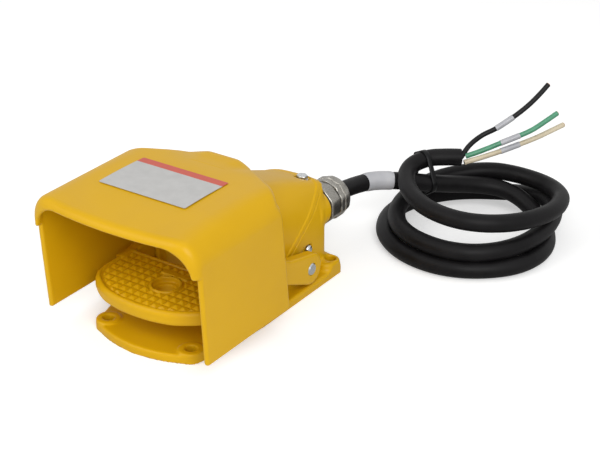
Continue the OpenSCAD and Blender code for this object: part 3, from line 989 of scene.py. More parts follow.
@dataclass
class ShieldCover:
    """The wide hood over the treadle with the dome behind it, one casting."""

    housing: Housing
    half: float = 76.0
    wall: float = 4.5
    roof_z: float = 120.0
    roof_r: float = 22.0
    skirt_z: float = 18.0
    front_y: float = -110.0
    bow_r: float = 345.0
    crown_r: float = 700.0
    crown_y: float = -48.0
    notch_z: float = 90.0
    wall_rear_y: float = 9.6
    wall_rear_lean: float = 9.6
    lip_in: float = 4.6
    lip_t: float = 6.5
    mouth_z: float = 110.7
    mouth_r: float = 23.0
    lean_z: Pair = (18.0, 106.0)
    rear_screw: Pair = (24.5, 99.0)
    rear_seat_z: float = 76.4
    slot_x: Pair = (50.1, 61.0)

    def rear_plan(self, x: Array, y: Array, grow: float) -> Array:
        """Works out the roof's outline seen from above, behind the front.

        Args:
            x: The points' x.
            y: Their y.
            grow: How far the outline is moved to the rear.

        Returns:
            The distance to the outline.
        """
        half = [(76.0, -2.6), (68.0, 2.0), (61.0, 7.2), (51.0, 13.0), (36.0, 23.8),
                (26.0, 29.0), (14.0, 31.4)]
        right = [(160.0, -40.0 + grow)] + [(a, b + grow) for a, b in half]
        left = [(-a, b) for a, b in reversed(right)]
        return outline(x, y, [(-160.0, -200.0), (160.0, -200.0), *right, *left])

    def roof(self, p: Array, inset: float, soft: float) -> Array:
        """Works out the crowned tunnel that the hood's outside and inside both follow.

        Args:
            p: The points.
            inset: How far it lies inside the outer face.
            soft: The softness between its arch and its crown.

        Returns:
            The distance to it.
        """
        x, y, z = p[:, 0], p[:, 1], p[:, 2]
        droop = 2.4 * np.clip((y - 8.0) / 23.0, 0, 1) ** 2
        top = self.roof_z - inset
        bottom = -30.0 if inset else self.skirt_z
        crown = disc(y, z + droop, (self.crown_y, top - self.crown_r), self.crown_r)
        return smooth_max(arch(x, z, self.half - inset, top, self.roof_r - inset, bottom), crown, soft)

    def lean(self, y: Array, z: Array) -> Array:
        """Returns how far a point is in front of the leaning rear edge of the side walls."""
        low, high = self.lean_z
        edge = self.wall_rear_y - self.wall_rear_lean * np.clip((z - low) / (high - low), 0, 1)
        return (edge - y) * 0.994

    def shell(self, p: Array) -> Array:
        """Works out the hood with its lip and its rear wall.

        Args:
            p: The points.

        Returns:
            The distance to it.
        """
        x, y, z = p[:, 0], p[:, 1], p[:, 2]
        side = np.abs(x)
        lean = self.lean(y, z)
        front = disc(x, y, (0.0, self.front_y + self.bow_r), self.bow_r)
        # The plan trims the roof alone: below it, the limit moves out of the walls' way
        plan = self.rear_plan(x, y, 0.0) - 14.0 * np.clip((108.0 - z) / 24.0, 0, 1)
        walls = outline(y, z, [(-91.5, 18), (-96.5, 90), (-130, 90), (-130, 140), (70, 140), (70, 18)])
        # Beside the arms the rear edge leans; between them a plate closes the hood
        closed = np.maximum(side - 50.5, y - self.housing.front_y - 4.5)
        rear = np.minimum(-lean - 28.0 * np.clip((z - 104.0) / 6.0, 0, 1), closed)
        outer = smooth_max(self.roof(p, 0.0, 3.0), front, 8.0)
        outer = smooth_max(smooth_max(outer, walls, 2.6), rear, 2.6)
        outer = smooth_max(outer, plan, 5.0)
        inside = np.maximum(side - self.housing.half_width, y - self.housing.front_y)
        back = smooth_min(self.wall + 0.1 - lean, inside, 2.0)
        hollow = smooth_max(self.roof(p, self.wall, 2.0), back, 4.0)
        # The lip runs round the mouth and ends in a notch on each side
        mouth = arch(x, z, self.half - self.lip_in, self.mouth_z, self.mouth_r, -60.0)
        lip = smooth_max(-front - self.lip_t, -mouth, 4.0)
        lip = smooth_max(lip, self.notch_z - z, 3.0)
        return smooth_max(outer, -smooth_max(hollow, -lip, 3.0), 2.4)

    def field(self, p: Array) -> Array:
        """Works out the casting: hood, dome, the bridge between them, screw seat and slots.

        Args:
            p: The points.

        Returns:
            The distance to the casting.
        """
        x, y, z = p[:, 0], p[:, 1], p[:, 2]
        form = self.housing.form(p)
        above = self.housing.above(p)
        # A raised band runs along the joint, and the joint itself is an open line
        proud = 0.7 * np.clip((7.0 - above) / 1.5, 0, 1)
        dome = smooth_max(form - proud, 1.0 - above, 1.2)
        rise = self.roof_z - np.interp(y, [12.0, 22.0, 30.0], [3.9, 2.4, 1.9])
        bridge = smooth_max(
            arch(x, z, self.housing.half_width, rise, 36.0, 70.0), self.rear_plan(x, y, 2.3), 8.0
        )
        bridge = np.maximum(bridge, self.housing.front_y - y)
        body = smooth_min(smooth_min(self.shell(p), dome, 5.0), bridge, 3.0)
        seat = smooth_max(disc(x, y, self.rear_screw, 6.8), slab(z, 66.0, self.rear_seat_z), 1.5)
        body = smooth_max(smooth_min(body, seat, 2.0), -(form + self.housing.wall), 1.5)
        spotface = smooth_max(disc(x, y, self.rear_screw, 6.4), self.rear_seat_z - z, 0.5)
        body = smooth_max(body, -spotface, 0.8)
        slots = np.maximum(round_box(y, z, (-20, -6), (20, 46), 3.0), slab(np.abs(x), *self.slot_x))
        return np.maximum(smooth_max(body, -slots, 1.2), np.abs(x) - self.half + 0.05)

    def build(self) -> None:
        """Builds and settles the casting."""
        mesh = skin(self.field, (-76, -110, 7), (76, 107, 120), cell(1.1))
        piece = object_from("shield_casting", mesh[0], mesh[1], PowderCoatedCasting(), mesh[2])
        settle(piece, Body.BASE, "shield_cover", "shield_cover")


@dataclass
class BaseCasting:
    """The base plate with its mounting bosses and ears and the housing's lower half."""

    housing: Housing
    half: float = 58.0
    plate: float = 7.0
    hole_r: float = 4.4
    front_hole: Pair = (39.5, -65.5)
    rear_hole: Pair = (50.5, 101.4)
    gland: Pair = (30.0, 50.0)
    pivot: Pair = (62.0, 23.0)

    def field(self, p: Array) -> Array:
        """Works out the casting: plate, bosses, ears, the housing's lower half and its bores.

        Args:
            p: The points.

        Returns:
            The distance to the casting.
        """
        x, y, z = p[:, 0], p[:, 1], p[:, 2]
        side = np.abs(x)
        corners = [(-60, 20), (self.half, 20), (self.half, 0), (54, -46), (47, -71), (47, -95), (-60, -95)]
        nose = outline(side, y, corners)
        nose = smooth_max(nose, disc(x, y, (0.0, 5.0), 90.0), 4.0)
        tail = round_box(x, y, (-self.half, -5), (self.half, 109), 8.0)
        plate = smooth_max(np.minimum(nose, tail), z - self.plate, 3.0)
        boss = smooth_max(disc(side, y, self.front_hole, 9.6), z - 8.5, 1.8)
        ears = smooth_max(round_box(side, y, (34, 88), (self.half, 109), 7.5), z - 13.0, 3.0)
        flat = smooth_min(smooth_min(plate, boss, 2.0), ears, 4.0)
        form = self.housing.form(p)
        walls = smooth_max(form, self.housing.above(p), 1.2)
        hub = smooth_max(disc(x, z, self.gland, 16.0), np.maximum(y - 110.0, 96.0 - y), 1.5)
        body = smooth_min(flat, smooth_min(walls, hub, 2.5), 5.0)
        cavity = smooth_max(form + self.housing.wall, self.plate - z, 3.0)
        body = smooth_max(body, -cavity, 1.5)
        post = np.maximum(disc(y, z, self.pivot, 10.0), slab(side, 35.0, 42.5))
        body = smooth_min(body, post, 2.0)
        for hole in (self.front_hole, self.rear_hole):
            body = smooth_max(body, -disc(side, y, hole, self.hole_r), 1.4)
        body = smooth_max(body, -disc(y, z, self.pivot, 7.0), 0.8)
        bore = np.maximum(disc(x, z, self.gland, 11.0), 90.0 - y)
        body = smooth_max(body, -bore, 0.8)
        pocket = np.maximum(link(y, z, (72, 29), 4.6, (78, 29), 4.6), 44.0 - side)
        body = smooth_max(body, -pocket, 1.2)
        return np.maximum(np.maximum(body, -z), np.maximum(y - 109.9, side - 57.9))

    def build(self) -> None:
        """Builds and settles the casting."""
        mesh = skin(self.field, (-58, -85, 0), (58, 110, 74), cell(1.25))
        piece = object_from("base_plate_casting", mesh[0], mesh[1], PowderCoatedCasting(), mesh[2])
        settle(piece, Body.BASE, "base_casting", "base_casting")


@dataclass
class Treadle:
    """The foot plate with its tread, its two arms and the shaft that they turn."""

    under: float = 30.0
    rim_z: float = 42.0
    recess: float = 2.0
    row: float = 7.2
    column: float = 7.0
    hole: Pair = (2.0, -46.0)
    pivot: Pair = (62.0, 23.0)
    arm: Pair = (50.5, 60.0)
    knee: Pair = (24.0, 35.5)
    bore_r: float = 5.05

    def plan(self, x: Array, y: Array) -> Array:
        """Works out the foot plate's outline seen from above.

        Args:
            x: The points' x.
            y: Their y.

        Returns:
            The distance to the outline.
        """
        corners = [(-60, -16), (57.5, -16), (57.5, -46), (55.5, -58), (50.5, -67), (42, -76),
                   (30, -90), (-60, -90)]
        return smooth_max(outline(np.abs(x), y, corners), disc(x, y, (0.0, 16.0), 100.0), 8.0)

    def field(self, p: Array) -> Array:
        """Works out the casting: rimmed plate, ringed hole, bar and two arms.

        Args:
            p: The points.

        Returns:
            The distance to the casting.
        """
        x, y, z = p[:, 0], p[:, 1], p[:, 2]
        side = np.abs(x)
        plan = self.plan(x, y)
        body = smooth_max(smooth_max(plan, z - self.rim_z, 5.0), self.under - z, 4.0)
        field_space = smooth_max(plan + 4.2, self.rim_z - self.recess - z, 1.0)
        body = smooth_max(body, -field_space, 1.6)
        ring = smooth_max(disc(x, y, self.hole, 12.3), slab(z, 34.0, self.rim_z - 0.5), 1.0)
        bar = np.maximum(round_box(x, y, (-13.4, -33.6), (12, -28), 1.0), slab(z, 35.0, self.rim_z - 0.2))
        body = smooth_min(body, smooth_min(ring, bar, 0.6), 1.2)
        arm = link(y, z, self.pivot, 13.0, self.knee, 9.0)
        arm = smooth_min(arm, link(y, z, self.knee, 9.0, (0, 30), 9.4), 5.0)
        arm = smooth_min(arm, link(y, z, self.knee, 9.0, (-10, 34), 7.6), 4.0)
        arm = smooth_min(arm, round_box(y, z, (-32, 30.5), (-6, 41.5), 2.0), 3.0)
        arm = smooth_max(arm, slab(side, *self.arm), 2.4)
        body = smooth_min(body, arm, 2.0)
        body = smooth_max(body, -disc(x, y, self.hole, 7.0), 1.0)
        body = smooth_max(body, -smooth_max(disc(x, y, self.hole, 10.4), 37.0 - z, 1.6), 1.0)
        bore = np.maximum(disc(y, z, self.pivot, self.bore_r), 40.0 - side)
        return smooth_max(body, -bore, 0.8)

    def tread(self) -> Form:
        """Draws the raised tread: rows of small four-sided points on the recess's floor.

        Returns:
            Vertices and faces.
        """
        step = 0.5
        xs, ys = np.arange(-56, 56.01, step), np.arange(-84.5, -15.5, step)
        gx, gy = np.meshgrid(xs, ys, indexing="ij")
        # Two crossed rows of ridges leave four-sided points, none near the hole and the bar
        across = np.abs((gx / self.column) % 1.0 - 0.5) * 2
        along = np.abs(((gy + 23.4) / self.row) % 1.0 - 0.5) * 2
        lift = np.clip(np.minimum(across, along) * 1.25 - 0.12, 0, 0.94)
        keep = np.clip(-(self.plan(gx, gy) + 5.6) / 0.9, 0, 1)
        keep *= np.clip(disc(gx, gy, self.hole, 13.4) / 0.8, 0, 1)
        keep *= np.clip(round_box(gx, gy, (-14.8, -35.2), (13.4, -26.4), 1.0) / 0.8, 0, 1)
        top = self.rim_z - self.recess - 0.35 + keep * (0.3 + 1.95 * lift)
        rows, columns = gx.shape
        points = np.stack([gx.ravel(), gy.ravel(), top.ravel()], axis=1)
        i, j = np.meshgrid(np.arange(rows - 1), np.arange(columns - 1), indexing="ij")
        a = (i * columns + j).ravel()
        faces = np.stack([a, a + columns, a + columns + 1, a + 1], axis=1)
        shown = (keep.ravel()[faces] > 0).any(axis=1)
        return points, faces[shown].tolist()

    def build(self) -> None:
        """Builds the casting, its tread, and the shaft with its chamfered ends."""
        mesh = skin(self.field, (-60, -84, 10), (60, 75, 45), cell(1.0))
        piece = object_from("treadle_casting", mesh[0], mesh[1], PowderCoatedCasting(), mesh[2])
        settle(piece, Body.TREADLE, "treadle", "treadle")
        tread = fit("tread_points", self.tread(), PowderCoatedCasting(), "treadle", body=Body.TREADLE)
        tidy_loose(tread)
        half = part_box("treadle_shaft")[1].x / MM
        right = [(5.0, half - 0.8), (4.2, half), (0.01, half)]
        left = [(r, -h) for r, h in reversed(right)]
        points, faces = turned([*left, *right], 48)
        shaft = aim(points, (0, *self.pivot), "x"), faces
        fit("pivot_shaft", shaft, GROUND_STEEL, "treadle_shaft", "treadle_shaft", body=Body.TREADLE, sharp=35)


def tidy_loose(piece: Piece) -> None:
    """Takes away vertices that no face uses and marks the sharp edges.

    Args:
        piece: The piece.
    """
    work = bmesh.new()
    work.from_mesh(piece.data)
    bmesh.ops.delete(work, geom=[v for v in work.verts if not v.link_faces], context="VERTS")
    work.to_mesh(piece.data)
    work.free()
    sharpen(piece, 28)


def sharpen(piece: Piece, degrees: float = 35.0) -> None:
    """Marks a mesh's sharp edges.

    Args:
        piece: The piece.
        degrees: The angle between two faces from which their edge is sharp.
    """
    work = bmesh.new()
    work.from_mesh(piece.data)
    for edge in work.edges:
        if len(edge.link_faces) == 2:
            edge.smooth = edge.calc_face_angle(0.0) < math.radians(degrees)
    work.to_mesh(piece.data)
    work.free()


# ------------------------------------------------------------------ cord and conductors


def hull_of(points: Sequence[Pair]) -> list[Pair]:
    """Returns the convex hull of flat points, in counter-clockwise order.

    Args:
        points: The points.

    Returns:
        The hull's corners.
    """
    ordered = sorted(set(points))
    sides = []
    for run in (ordered, ordered[::-1]):
        side = []
        for u, v in run:
            while len(side) > 1:
                (a, b), (c, d) = side[-2:]
                if (c - a) * (v - b) - (d - b) * (u - a) > 0:
                    break
                side.pop()
            side.append((u, v))
        sides += side[:-1]
    return sides


@dataclass
class CoiledCord:
    """The rubber-jacketed cord: out of the gland, three turns, a tie and its stripped end."""

    diameter: float = 15.0
    route: Sequence[Point] = (
        (30, 123, 50), (30, 140, 50), (31, 151, 49), (31.5, 162, 47.5), (33, 173, 46), (36, 183, 45),
        (42, 192, 44), (50, 200, 42.8), (58, 209, 40.8), (65.5, 219, 37.8), (72, 229, 34.8), (77, 238, 32.2),
        (82, 247, 29.8), (88, 256, 27.6), (95.5, 264, 25.8), (104, 270.5, 24.2), (114, 274.5, 22.4),
        (125.5, 275.5, 19.6), (137, 273.5, 15.8), (149, 268, 11.8), (160, 259, 9.2), (170, 246.5, 7.9),
        (178, 230, 7.6), (181, 212, 7.6), (178.5, 194, 7.6), (171, 178, 7.6),
        (158, 164, 7.6), (142, 153.5, 7.6), (124, 148, 7.6), (106, 147.8, 7.6), (88, 152, 7.6), (72, 160.5, 7.6),
        (58, 173, 7.6), (48.5, 188, 7.6), (43, 205, 7.6), (42.5, 222, 7.6), (46.5, 241, 7.6), (54.5, 258, 7.6),
        (66, 273, 7.6), (80, 284.5, 7.8), (96, 291.5, 9), (113, 294, 11.8), (130, 292.5, 15.4), (145, 287, 18.8),
        (157.5, 277, 21.2), (167, 264, 22.3), (173, 249, 22.3), (176, 232, 21.8), (175.8, 213, 21.4),
        (172, 193, 21.3), (163, 175, 21.3), (149, 161, 21.3), (132, 153.6, 21.3), (114, 152.2, 21.3),
        (95, 156, 21.3), (78, 165.2, 21.3), (65, 179, 21.4), (56.5, 196, 22), (53.5, 214, 23.4),
        (56, 232, 26.2), (63, 248, 29.2), (74, 262.5, 31.4), (87.5, 274.5, 33), (102.5, 282.4, 33.9),
        (118.5, 286.3, 33.6), (134.5, 286.4, 33.4), (149.8, 282.5, 33.8), (162.5, 275, 34.5), (172.5, 263.5, 35.6),
        (178, 249, 36.8), (180, 233, 38), (177.8, 215, 39.6), (172, 197.5, 41.2), (162.5, 182, 42.8),
        (149, 169.5, 44.2), (133, 163, 45), (115, 163, 45.2), (97, 168.5, 45.2), (80, 179, 45.6), (66, 192.5, 46.8),
        (57, 207, 49.2), (56, 220, 52.2), (63, 232.5, 54.7), (74, 241.5, 55.2), (84, 250, 54.5),
    )
    sleeve_run: Pair = (53.0, 81.0)
    wires: Sequence[tuple[str, Sequence[Point], PolymerFinish]] = (
        (
            "black",
            ((84, 250, 54), (86, 261, 62), (91, 273, 68), (100, 281, 74), (111, 293, 84), (118, 303, 92),
             (123, 313, 100), (127, 322, 108)),
            BLACK_PVC,
        ),
        (
            "green",
            ((87, 253, 55), (95, 260.5, 58.3), (102, 268, 61.5), (108, 274.5, 64.5), (120, 287.5, 70.2),
             (127, 295.5, 74.2), (133, 304.5, 79.4), (140, 317, 86)),
            GREEN_PVC,
        ),
        (
            "white",
            ((88, 249, 51), (96.5, 258.5, 53.4), (103, 267, 55.4), (109, 274.8, 57.4), (120.5, 289, 62),
             (129, 299.5, 65.8), (136.5, 311, 69.8), (144, 323, 74)),
            WHITE_PVC,
        ),
    )
    wire_d: float = 4.4
    tie_at: Point = (62.0, 228.0, 47.0)
    tie_deg: float = 65.0
    bundle: Sequence[Pair] = ((-7.8, -10.8), (1.3, 6.9), (6.9, -21.0))

    def build(self) -> None:
        line = smooth_route(self.route)
        # The jacket's thickness wanders a little along the cord
        rng = np.random.default_rng(7)
        breath = np.convolve(rng.normal(0, 1, len(line) + 30), np.ones(31) / 31, "valid")
        radius = self.diameter / 2 - 0.12 + 0.25 * breath[: len(line)]
        radius[0] = radius[-1] = self.diameter / 2 - 0.3
        jacket = fit(
            "cord_jacket", swept(line, radius, 28, 0.006), RUBBER_JACKET, "cord_coil",
            "cord_lead_in", "cord_coil", "cord_top_turn", "cord_tail", sharp=60,
        )
        run = travelled(line)
        part = line[(run >= self.sleeve_run[0]) & (run <= self.sleeve_run[1])]
        band = self.band(part, self.diameter / 2 + 0.45)
        sleeve = fit("cord_sleeve", band, SLEEVE, "cord_marker", "cord_marker", sharp=50)
        tie = self.tie()
        for name, route, finish in self.wires:
            self.conductor(name, route, finish)

    def band(self, part: Array, radius: float) -> Form:
        """Draws a thin sleeve over part of a route, its ends turned down to the cord.

        Args:
            part: The part of the route.
            radius: The sleeve's radius.

        Returns:
            Vertices and faces.
        """
        radii = np.full(len(part), radius)
        radii[0] = radii[-1] = radius - 0.5
        return swept(part, radii, 28, 0.01)

    def tie(self) -> Piece:
        """Builds the ratchet tie: a flat strap round the bundle and its head.

        Returns:
            The tie.
        """
        rims = [
            (u + 7.9 * math.cos(t), v + 7.9 * math.sin(t))
            for u, v in self.bundle
            for t in np.radians(np.arange(0, 360, 12))
        ]
        loop = hull_of(rims)
        points, faces = [], []
        section = [(-2.4, 0.1), (-2.1, 0.7), (2.1, 0.7), (2.4, 0.1), (2.1, -0.4), (-2.1, -0.4)]
        count = len(loop)
        for i, (u, v) in enumerate(loop):
            du = loop[(i + 1) % count][0] - loop[i - 1][0]
            dv = loop[(i + 1) % count][1] - loop[i - 1][1]
            size = math.hypot(du, dv) or 1.0
            for across, out in section:
                points.append((across, u + out * dv / size, v - out * du / size))
            for k in range(6):
                here, after, turn = i * 6, (i + 1) % count * 6, (k + 1) % 6
                faces.append([here + k, after + k, after + turn, here + turn])
        head = skin(self.tie_head, (-3.6, 7.6, 3.8), (3.6, 14.0, 11.0), 0.5)
        points, faces = join_parts([(np.array(points), faces), (head[0], head[1].tolist())])
        turn = math.radians(self.tie_deg)
        spun = points.copy()
        spun[:, 0] = points[:, 0] * math.cos(turn) - points[:, 1] * math.sin(turn)
        spun[:, 1] = points[:, 0] * math.sin(turn) + points[:, 1] * math.cos(turn)
        return fit("bundle_tie", (spun + np.array(self.tie_at), faces), NYLON, "cable_tie", "cable_tie")

    def tie_head(self, p: Array) -> Array:
        """Returns the distance field of the tie's ratchet head."""
        return smooth_max(
            round_box(p[:, 0], p[:, 1], (-3.3, 8.0), (3.3, 13.6), 1.5), slab(p[:, 2], 4.2, 10.6), 1.8
        )

    def conductor(self, name: str, route: Sequence[Point], finish: PolymerFinish) -> None:
        """Builds one insulated conductor with its sleeve and the strands at its end.

        Args:
            name: The conductor's name.
            route: The points that it passes.
            finish: Its finish.
        """
        line = smooth_route(route, 1.6)
        short = line[:-1]
        form = swept(short, self.wire_d / 2, 18)
        insulation = fit(f"conductor_{name}", form, finish, f"wire_{name}", f"wire_{name}", sharp=60)
        way = line[-1] - line[-3]
        way /= np.linalg.norm(way)
        side = np.cross(way, (0, 0, 1.0))
        side /= np.linalg.norm(side)
        lift = np.cross(side, way)
        strands = []
        for ring, number in ((0.0, 1), (0.78, 6), (1.45, 11)):
            for k in range(number):
                a = 2 * math.pi * k / number + ring
                spot = short[-1] + ring * (math.cos(a) * side + math.sin(a) * lift)
                strands.append(swept(np.array([spot - 2 * way, spot, spot + 0.5 * way]), 0.36, 7))
        ends = fit(f"strands_{name}", join_parts(strands), COPPER, f"wire_{name}", sharp=50)
        run = travelled(line)
        low = route_length(smooth_route(route[:4], 1.0)) - 0.5
        part = line[(run >= low) & (run <= low + 19.0)]
        form = swept(part, self.wire_d / 2 + 0.35, 18)
        sleeve = fit(f"sleeve_{name}", form, SLEEVE, "wire_sleeves", "wire_sleeves", sharp=50)


# ------------------------------------------------------------------ gland, screws and label


@dataclass
class CableGland:
    """The die-cast gland: a body against the hub, a sealing ring and a fluted nut."""

    centre: Pair = (30.0, 50.0)
    body_y: Pair = (111.0, 123.0)
    nut_y: Pair = (123.5, 138.5)
    nut_r: float = 17.5

    def place(self, points: Array, y: float = 0.0) -> Array:
        """Turns points made round +Z onto the gland's axis."""
        return aim(points, (self.centre[0], y, self.centre[1]), "y")

    def build(self) -> None:
        """Builds the body, the washer, the grommet and the nut."""
        low, high = self.body_y
        body = turned(rounded_profile(6.6, 16.9, low, high, 1.4), 96, 8, 0.7)
        collar = turned(rounded_profile(6.6, 11.9, high - 0.5, high + 5.5, 0.4), 64)
        shank = turned(rounded_profile(6.6, 10.9, 103.0, low + 0.5, 0.4), 64)
        points, faces = join_parts([body, collar, shank])
        fit("gland_casting", (self.place(points), faces), CAST_ZINC, "gland_body", "gland_body", sharp=40)
        points, faces = turned(rounded_profile(11.0, 15.4, 110.0, 111.0, 0.3), 64)
        fit("gland_seal", (self.place(points), faces), NEOPRENE, "gland_washer", "gland_washer")
        points, faces = turned(self.nut_profile(), 120, 10, 0.8)
        fit("gland_clamp_nut", (self.place(points), faces), CAST_ZINC, "gland_nut", "gland_nut", sharp=40)
        points, faces = turned(rounded_profile(7.55, 9.9, high, 134.0, 0.6), 64)
        fit("gland_rubber", (self.place(points), faces), NEOPRENE, "gland_grommet", "gland_grommet")

    def nut_profile(self) -> list[Pair]:
        """Draws the nut's section: a grooved barrel that rounds in to the cord.

        Returns:
            The profile's points, for turned().
        """
        (near, far), r, round_r = self.nut_y, self.nut_r, 5.2
        profile = [(12.1, near), (r - 1.2, near), (r - 0.3, near + 0.5), (r, near + 1.3), (r, near + 4.2),
                   (r - 0.9, near + 4.8), (r - 0.9, near + 5.8), (r, near + 6.4), (r, far - 5.4)]
        for k in range(1, 9):
            a = math.pi / 2 * k / 8
            profile.append((r - round_r + round_r * math.cos(a), far - round_r + round_r * math.sin(a)))
        return profile + [(9.0, far), (8.3, far - 0.6), (8.3, far - 5.0), (12.1, far - 6.0)]


@dataclass
class Fasteners:
    """The screws that hold the cover down."""

    rear: Point = (24.5, 99.0, 76.4)
    side: Pair = (78.0, 29.0)

    def build(self) -> None:
        """Builds the hex screw behind and the two recessed screws at the sides."""
        washer = turned(rounded_profile(2.4, 5.0, 0.0, 1.0, 0.25), 40)
        head = self.hex_head(4.0, 1.0, 4.4)
        shank = turned(rounded_profile(0.01, 2.45, -13.0, 1.5, 0.3), 32)
        points, faces = join_parts([washer, head, shank])
        fit(
            "rear_hex_screw", (points + np.array(self.rear), faces), PLATED_STEEL,
            "rear_cover_screw", "rear_cover_screw", sharp=30,
        )
        parts = []
        for sign, axis in ((1, "x"), (-1, "-x")):
            cap = [(0.01, -8.0), (1.9, -8.0), (1.9, 0.0), (4.0, 0.0), (4.0, 0.7), (3.7, 1.6), (2.9, 2.4),
                   (1.7, 2.7), (1.5, 2.0), (0.01, 1.5)]
            points, faces = turned(cap, 40)
            parts.append((aim(points, (sign * 44.6, *self.side), axis), faces))
        fit(
            "side_pan_screws", join_parts(parts), PLATED_STEEL,
            "side_cover_screws", "side_cover_screws", sharp=40,
        )

    def hex_head(self, half_flats: float, low: float, high: float) -> Form:
        """Draws a hexagon head with its chamfered crown.

        Args:
            half_flats: Half the width over the flats.
            low: The head's seat.
            high: The head's top.

        Returns:
            Vertices and faces.
        """
        rings = [(1.0, low), (1.0, high - 0.9), (0.93, high - 0.25), (0.80, high)]
        sides = 48
        points, faces = [], []
        for scale, z in rings:
            for k in range(sides):
                a = 2 * math.pi * k / sides
                flat = half_flats / math.cos((a + math.pi / 6) % (math.pi / 3) - math.pi / 6)
                r = min(flat, half_flats * 1.12) * scale if scale < 1 else flat
                points.append((r * math.cos(a), r * math.sin(a), z))
        for i in range(len(rings) - 1):
            for k in range(sides):
                here, above, after = i * sides, (i + 1) * sides, (k + 1) % sides
                faces.append([here + k, here + after, above + after, above + k])
        faces.append([(len(rings) - 1) * sides + k for k in range(sides)])
        return np.array(points), faces


@dataclass
class RoofLabel:
    """A blank film label that follows the roof, with a plain band along its rear edge."""

    centre: Pair = (-4.2, -36.4)
    size: Pair = (79.2, 52.0)
    turn_deg: float = 0.6
    corner: float = 1.2
    crown_r: float = 700.0
    crown_y: float = -48.0
    roof_z: float = 120.0

    def build(self) -> None:
        """Builds the label, with a map that runs across it from 0 to 1."""
        across, along = 64, 40
        turn = math.radians(self.turn_deg)
        points, maps = [], []
        for level in (0.33, 0.02):
            for j in range(along + 1):
                for i in range(across + 1):
                    u, v = (i / across - 0.5) * self.size[0], (j / along - 0.5) * self.size[1]
                    over_u = abs(u) - self.size[0] / 2 + self.corner
                    over_v = abs(v) - self.size[1] / 2 + self.corner
                    if over_u > 0 and over_v > 0:
                        reach = math.hypot(over_u, over_v)
                        if reach > self.corner:
                            u -= math.copysign(over_u * (1 - self.corner / reach), u)
                            v -= math.copysign(over_v * (1 - self.corner / reach), v)
                    x = self.centre[0] + u * math.cos(turn) - v * math.sin(turn)
                    y = self.centre[1] + u * math.sin(turn) + v * math.cos(turn)
                    lift = self.crown_r + level - 0.02
                    z = self.roof_z - self.crown_r + math.sqrt(lift**2 - (y - self.crown_y) ** 2)
                    points.append((x, y, z))
                    maps.append((i / across, j / along))
        row, sheet = across + 1, (across + 1) * (along + 1)
        faces = [
            [j * row + i, j * row + i + 1, (j + 1) * row + i + 1, (j + 1) * row + i]
            for j in range(along)
            for i in range(across)
        ]
        faces += [[sheet + i for i in f][::-1] for f in faces]
        rim = list(range(row)) + [j * row + across for j in range(1, along + 1)]
        rim += [along * row + i for i in range(across - 1, -1, -1)]
        rim += [j * row for j in range(along - 1, 0, -1)]
        for a, b in zip(rim, rim[1:] + rim[:1]):
            faces.append([b, a, sheet + a, sheet + b])
        piece = object_from("roof_label", np.array(points), faces, PrintedVinylLabel())
        layer = piece.data.uv_layers.new(name="label")
        for loop in piece.data.loops:
            layer.data[loop.index].uv = maps[loop.vertex_index]
        sharpen(piece, 60)
        settle(piece, Body.BASE, "blank_label", "blank_label")


def dress_inner_works() -> None:
    """Gives the switch works inside the housing their finishes."""
    dress(PowderCoatedCasting(), "cover_gasket")
    dress(NEOPRENE, "shaft_seals")
    dress(TURNED_BRASS, "shaft_bushings", "switch_terminals")
    dress(
        PLATED_STEEL, "arm_drive_pins", "shaft_retaining_rings", "actuator_lever", "lever_clamp_screw",
        "adjusting_screw", "adjusting_locknut", "spring_seat", "switch_bracket", "bracket_screws",
        "switch_screws",
    )
    dress(SPRING_WIRE, "return_spring")
    dress(PHENOLIC, "switch_case")
    dress(RED_ACETAL, "switch_plunger")
    dress(GREEN_PVC, "ground_screw", "inner_lead_green")
    dress(BLACK_PVC, "inner_lead_black")
    dress(WHITE_PVC, "inner_lead_white")


# ------------------------------------------------------------------ studio


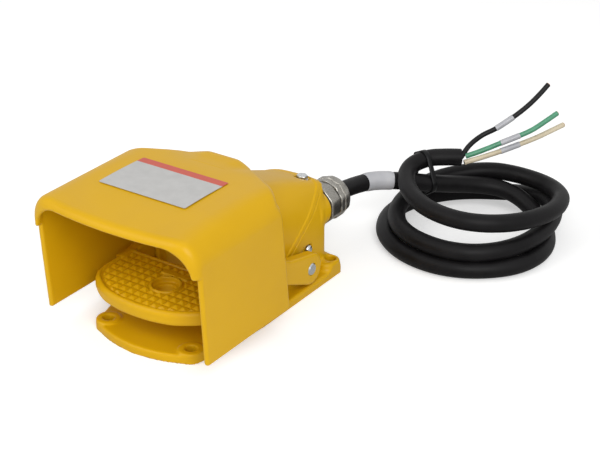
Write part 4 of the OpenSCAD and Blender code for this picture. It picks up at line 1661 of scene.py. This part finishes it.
@dataclass
class Studio:
    """A pale floor, plain soft light and the camera."""

    eye: tuple[float, float, float] = (0.6748, -0.8429, 0.6217)
    turn_deg: tuple[float, float, float] = (62.9, 0.0, 34.7)
    lens: float = 96.0
    surround: float = 0.45
    floor_lift: float = 0.42
    aim_at: tuple[float, float, float] = (0.03, 0.05, 0.05)

    def camera(self) -> None:
        """Places the camera."""
        data = bpy.data.cameras.new("studio_camera")
        data.lens = self.lens
        data.sensor_width = 36.0
        data.clip_start, data.clip_end = 0.05, 20.0
        eye = bpy.data.objects.new("studio_camera", data)
        eye.location = self.eye
        eye.rotation_euler = [math.radians(a) for a in self.turn_deg]
        bpy.context.scene.collection.objects.link(eye)
        bpy.context.scene.camera = eye

    def floor(self) -> None:
        """Lays the pale floor, which is white to the eye and keeps the shadow."""
        size, cells = 3.0, 8
        work = bmesh.new()
        bmesh.ops.create_grid(work, x_segments=cells, y_segments=cells, size=size)
        mesh = bpy.data.meshes.new("studio_floor")
        work.to_mesh(mesh)
        work.free()
        floor = bpy.data.objects.new("studio_floor", mesh)
        floor.location = (0.05, 0.1, -0.0002)
        bpy.context.scene.collection.objects.link(floor)
        material = bpy.data.materials.new("painted_studio_floor")
        material.use_nodes = True
        tree = material.node_tree
        tree.nodes.clear()
        where = add(tree, "ShaderNodeTexCoord").outputs["Object"]
        grain = add(tree, "ShaderNodeTexNoise", in0=where, Scale=3.0)
        tone = shade(tree, grain.outputs["Fac"], (0.3, "#E2E2E1"), (0.7, "#E8E8E8"))
        matt = add(tree, "ShaderNodeBsdfDiffuse", Color=tone)
        path = add(tree, "ShaderNodeLightPath")
        seen = path.outputs["Is Camera Ray"]
        lift = add(tree, "ShaderNodeMath", operation="MULTIPLY", in0=seen, in1=self.floor_lift)
        glow = add(tree, "ShaderNodeEmission", Color=rgba("#FFFFFF"), Strength=lift.outputs[0])
        both = add(tree, "ShaderNodeAddShader", in0=matt.outputs[0], in1=glow.outputs[0])
        add(tree, "ShaderNodeOutputMaterial", Surface=both.outputs[0])
        mesh.materials.append(material)

    def light(self) -> None:
        """Hangs the lamps and sets the plain white surround."""
        world = bpy.data.worlds.new("studio_surround")
        bpy.context.scene.world = world
        world.use_nodes = True
        tree = world.node_tree
        tree.nodes.clear()
        path = add(tree, "ShaderNodeLightPath")
        seen = path.outputs["Is Camera Ray"]
        for ray in ("Is Transmission Ray", "Is Glossy Ray"):
            seen = add(tree, "ShaderNodeMath", operation="MAXIMUM", in0=seen, in1=path.outputs[ray]).outputs[0]
        strength = spread(tree, seen, (0.0, 1.0), (self.surround, 1.0))
        sky = add(tree, "ShaderNodeBackground", Color=rgba("#FFFFFF"), Strength=strength)
        add(tree, "ShaderNodeOutputWorld", Surface=sky.outputs[0])
        lamps = (
            ("key_lamp", (1.15, -1.0, 1.1), 1.1, 21.0),
            ("fill_lamp", (-0.75, -1.25, 1.15), 1.2, 10.5),
            ("top_lamp", (0.1, 0.3, 1.7), 1.4, 3.0),
        )
        for name, place, size, power in lamps:
            data = bpy.data.lights.new(name, "AREA")
            data.size = size
            data.energy = power
            lamp = bpy.data.objects.new(name, data)
            lamp.location = place
            way = Vector(self.aim_at) - Vector(place)
            lamp.rotation_euler = way.to_track_quat("-Z", "Y").to_euler()
            bpy.context.scene.collection.objects.link(lamp)

    def build(self) -> None:
        """Sets up the view transform, the camera, the floor and the lamps."""
        bpy.context.scene.view_settings.view_transform = "Standard"
        self.camera()
        self.floor()
        self.light()


def write_sizes() -> None:
    """Updates the view layer."""
    bpy.context.view_layer.update()


def main() -> None:
    """Builds the classes in order: the camera and the cord first, then the rest."""
    logging.basicConfig(level=logging.INFO, format="%(name)s %(message)s")
    Studio().build()
    CoiledCord().build()
    housing = Housing()
    for assembly in (
        ShieldCover(housing), BaseCasting(housing), Treadle(), CableGland(), Fasteners(), RoofLabel(),
    ):
        assembly.build()
    dress_inner_works()
    write_sizes()


if __name__ == "__main__":
    main()
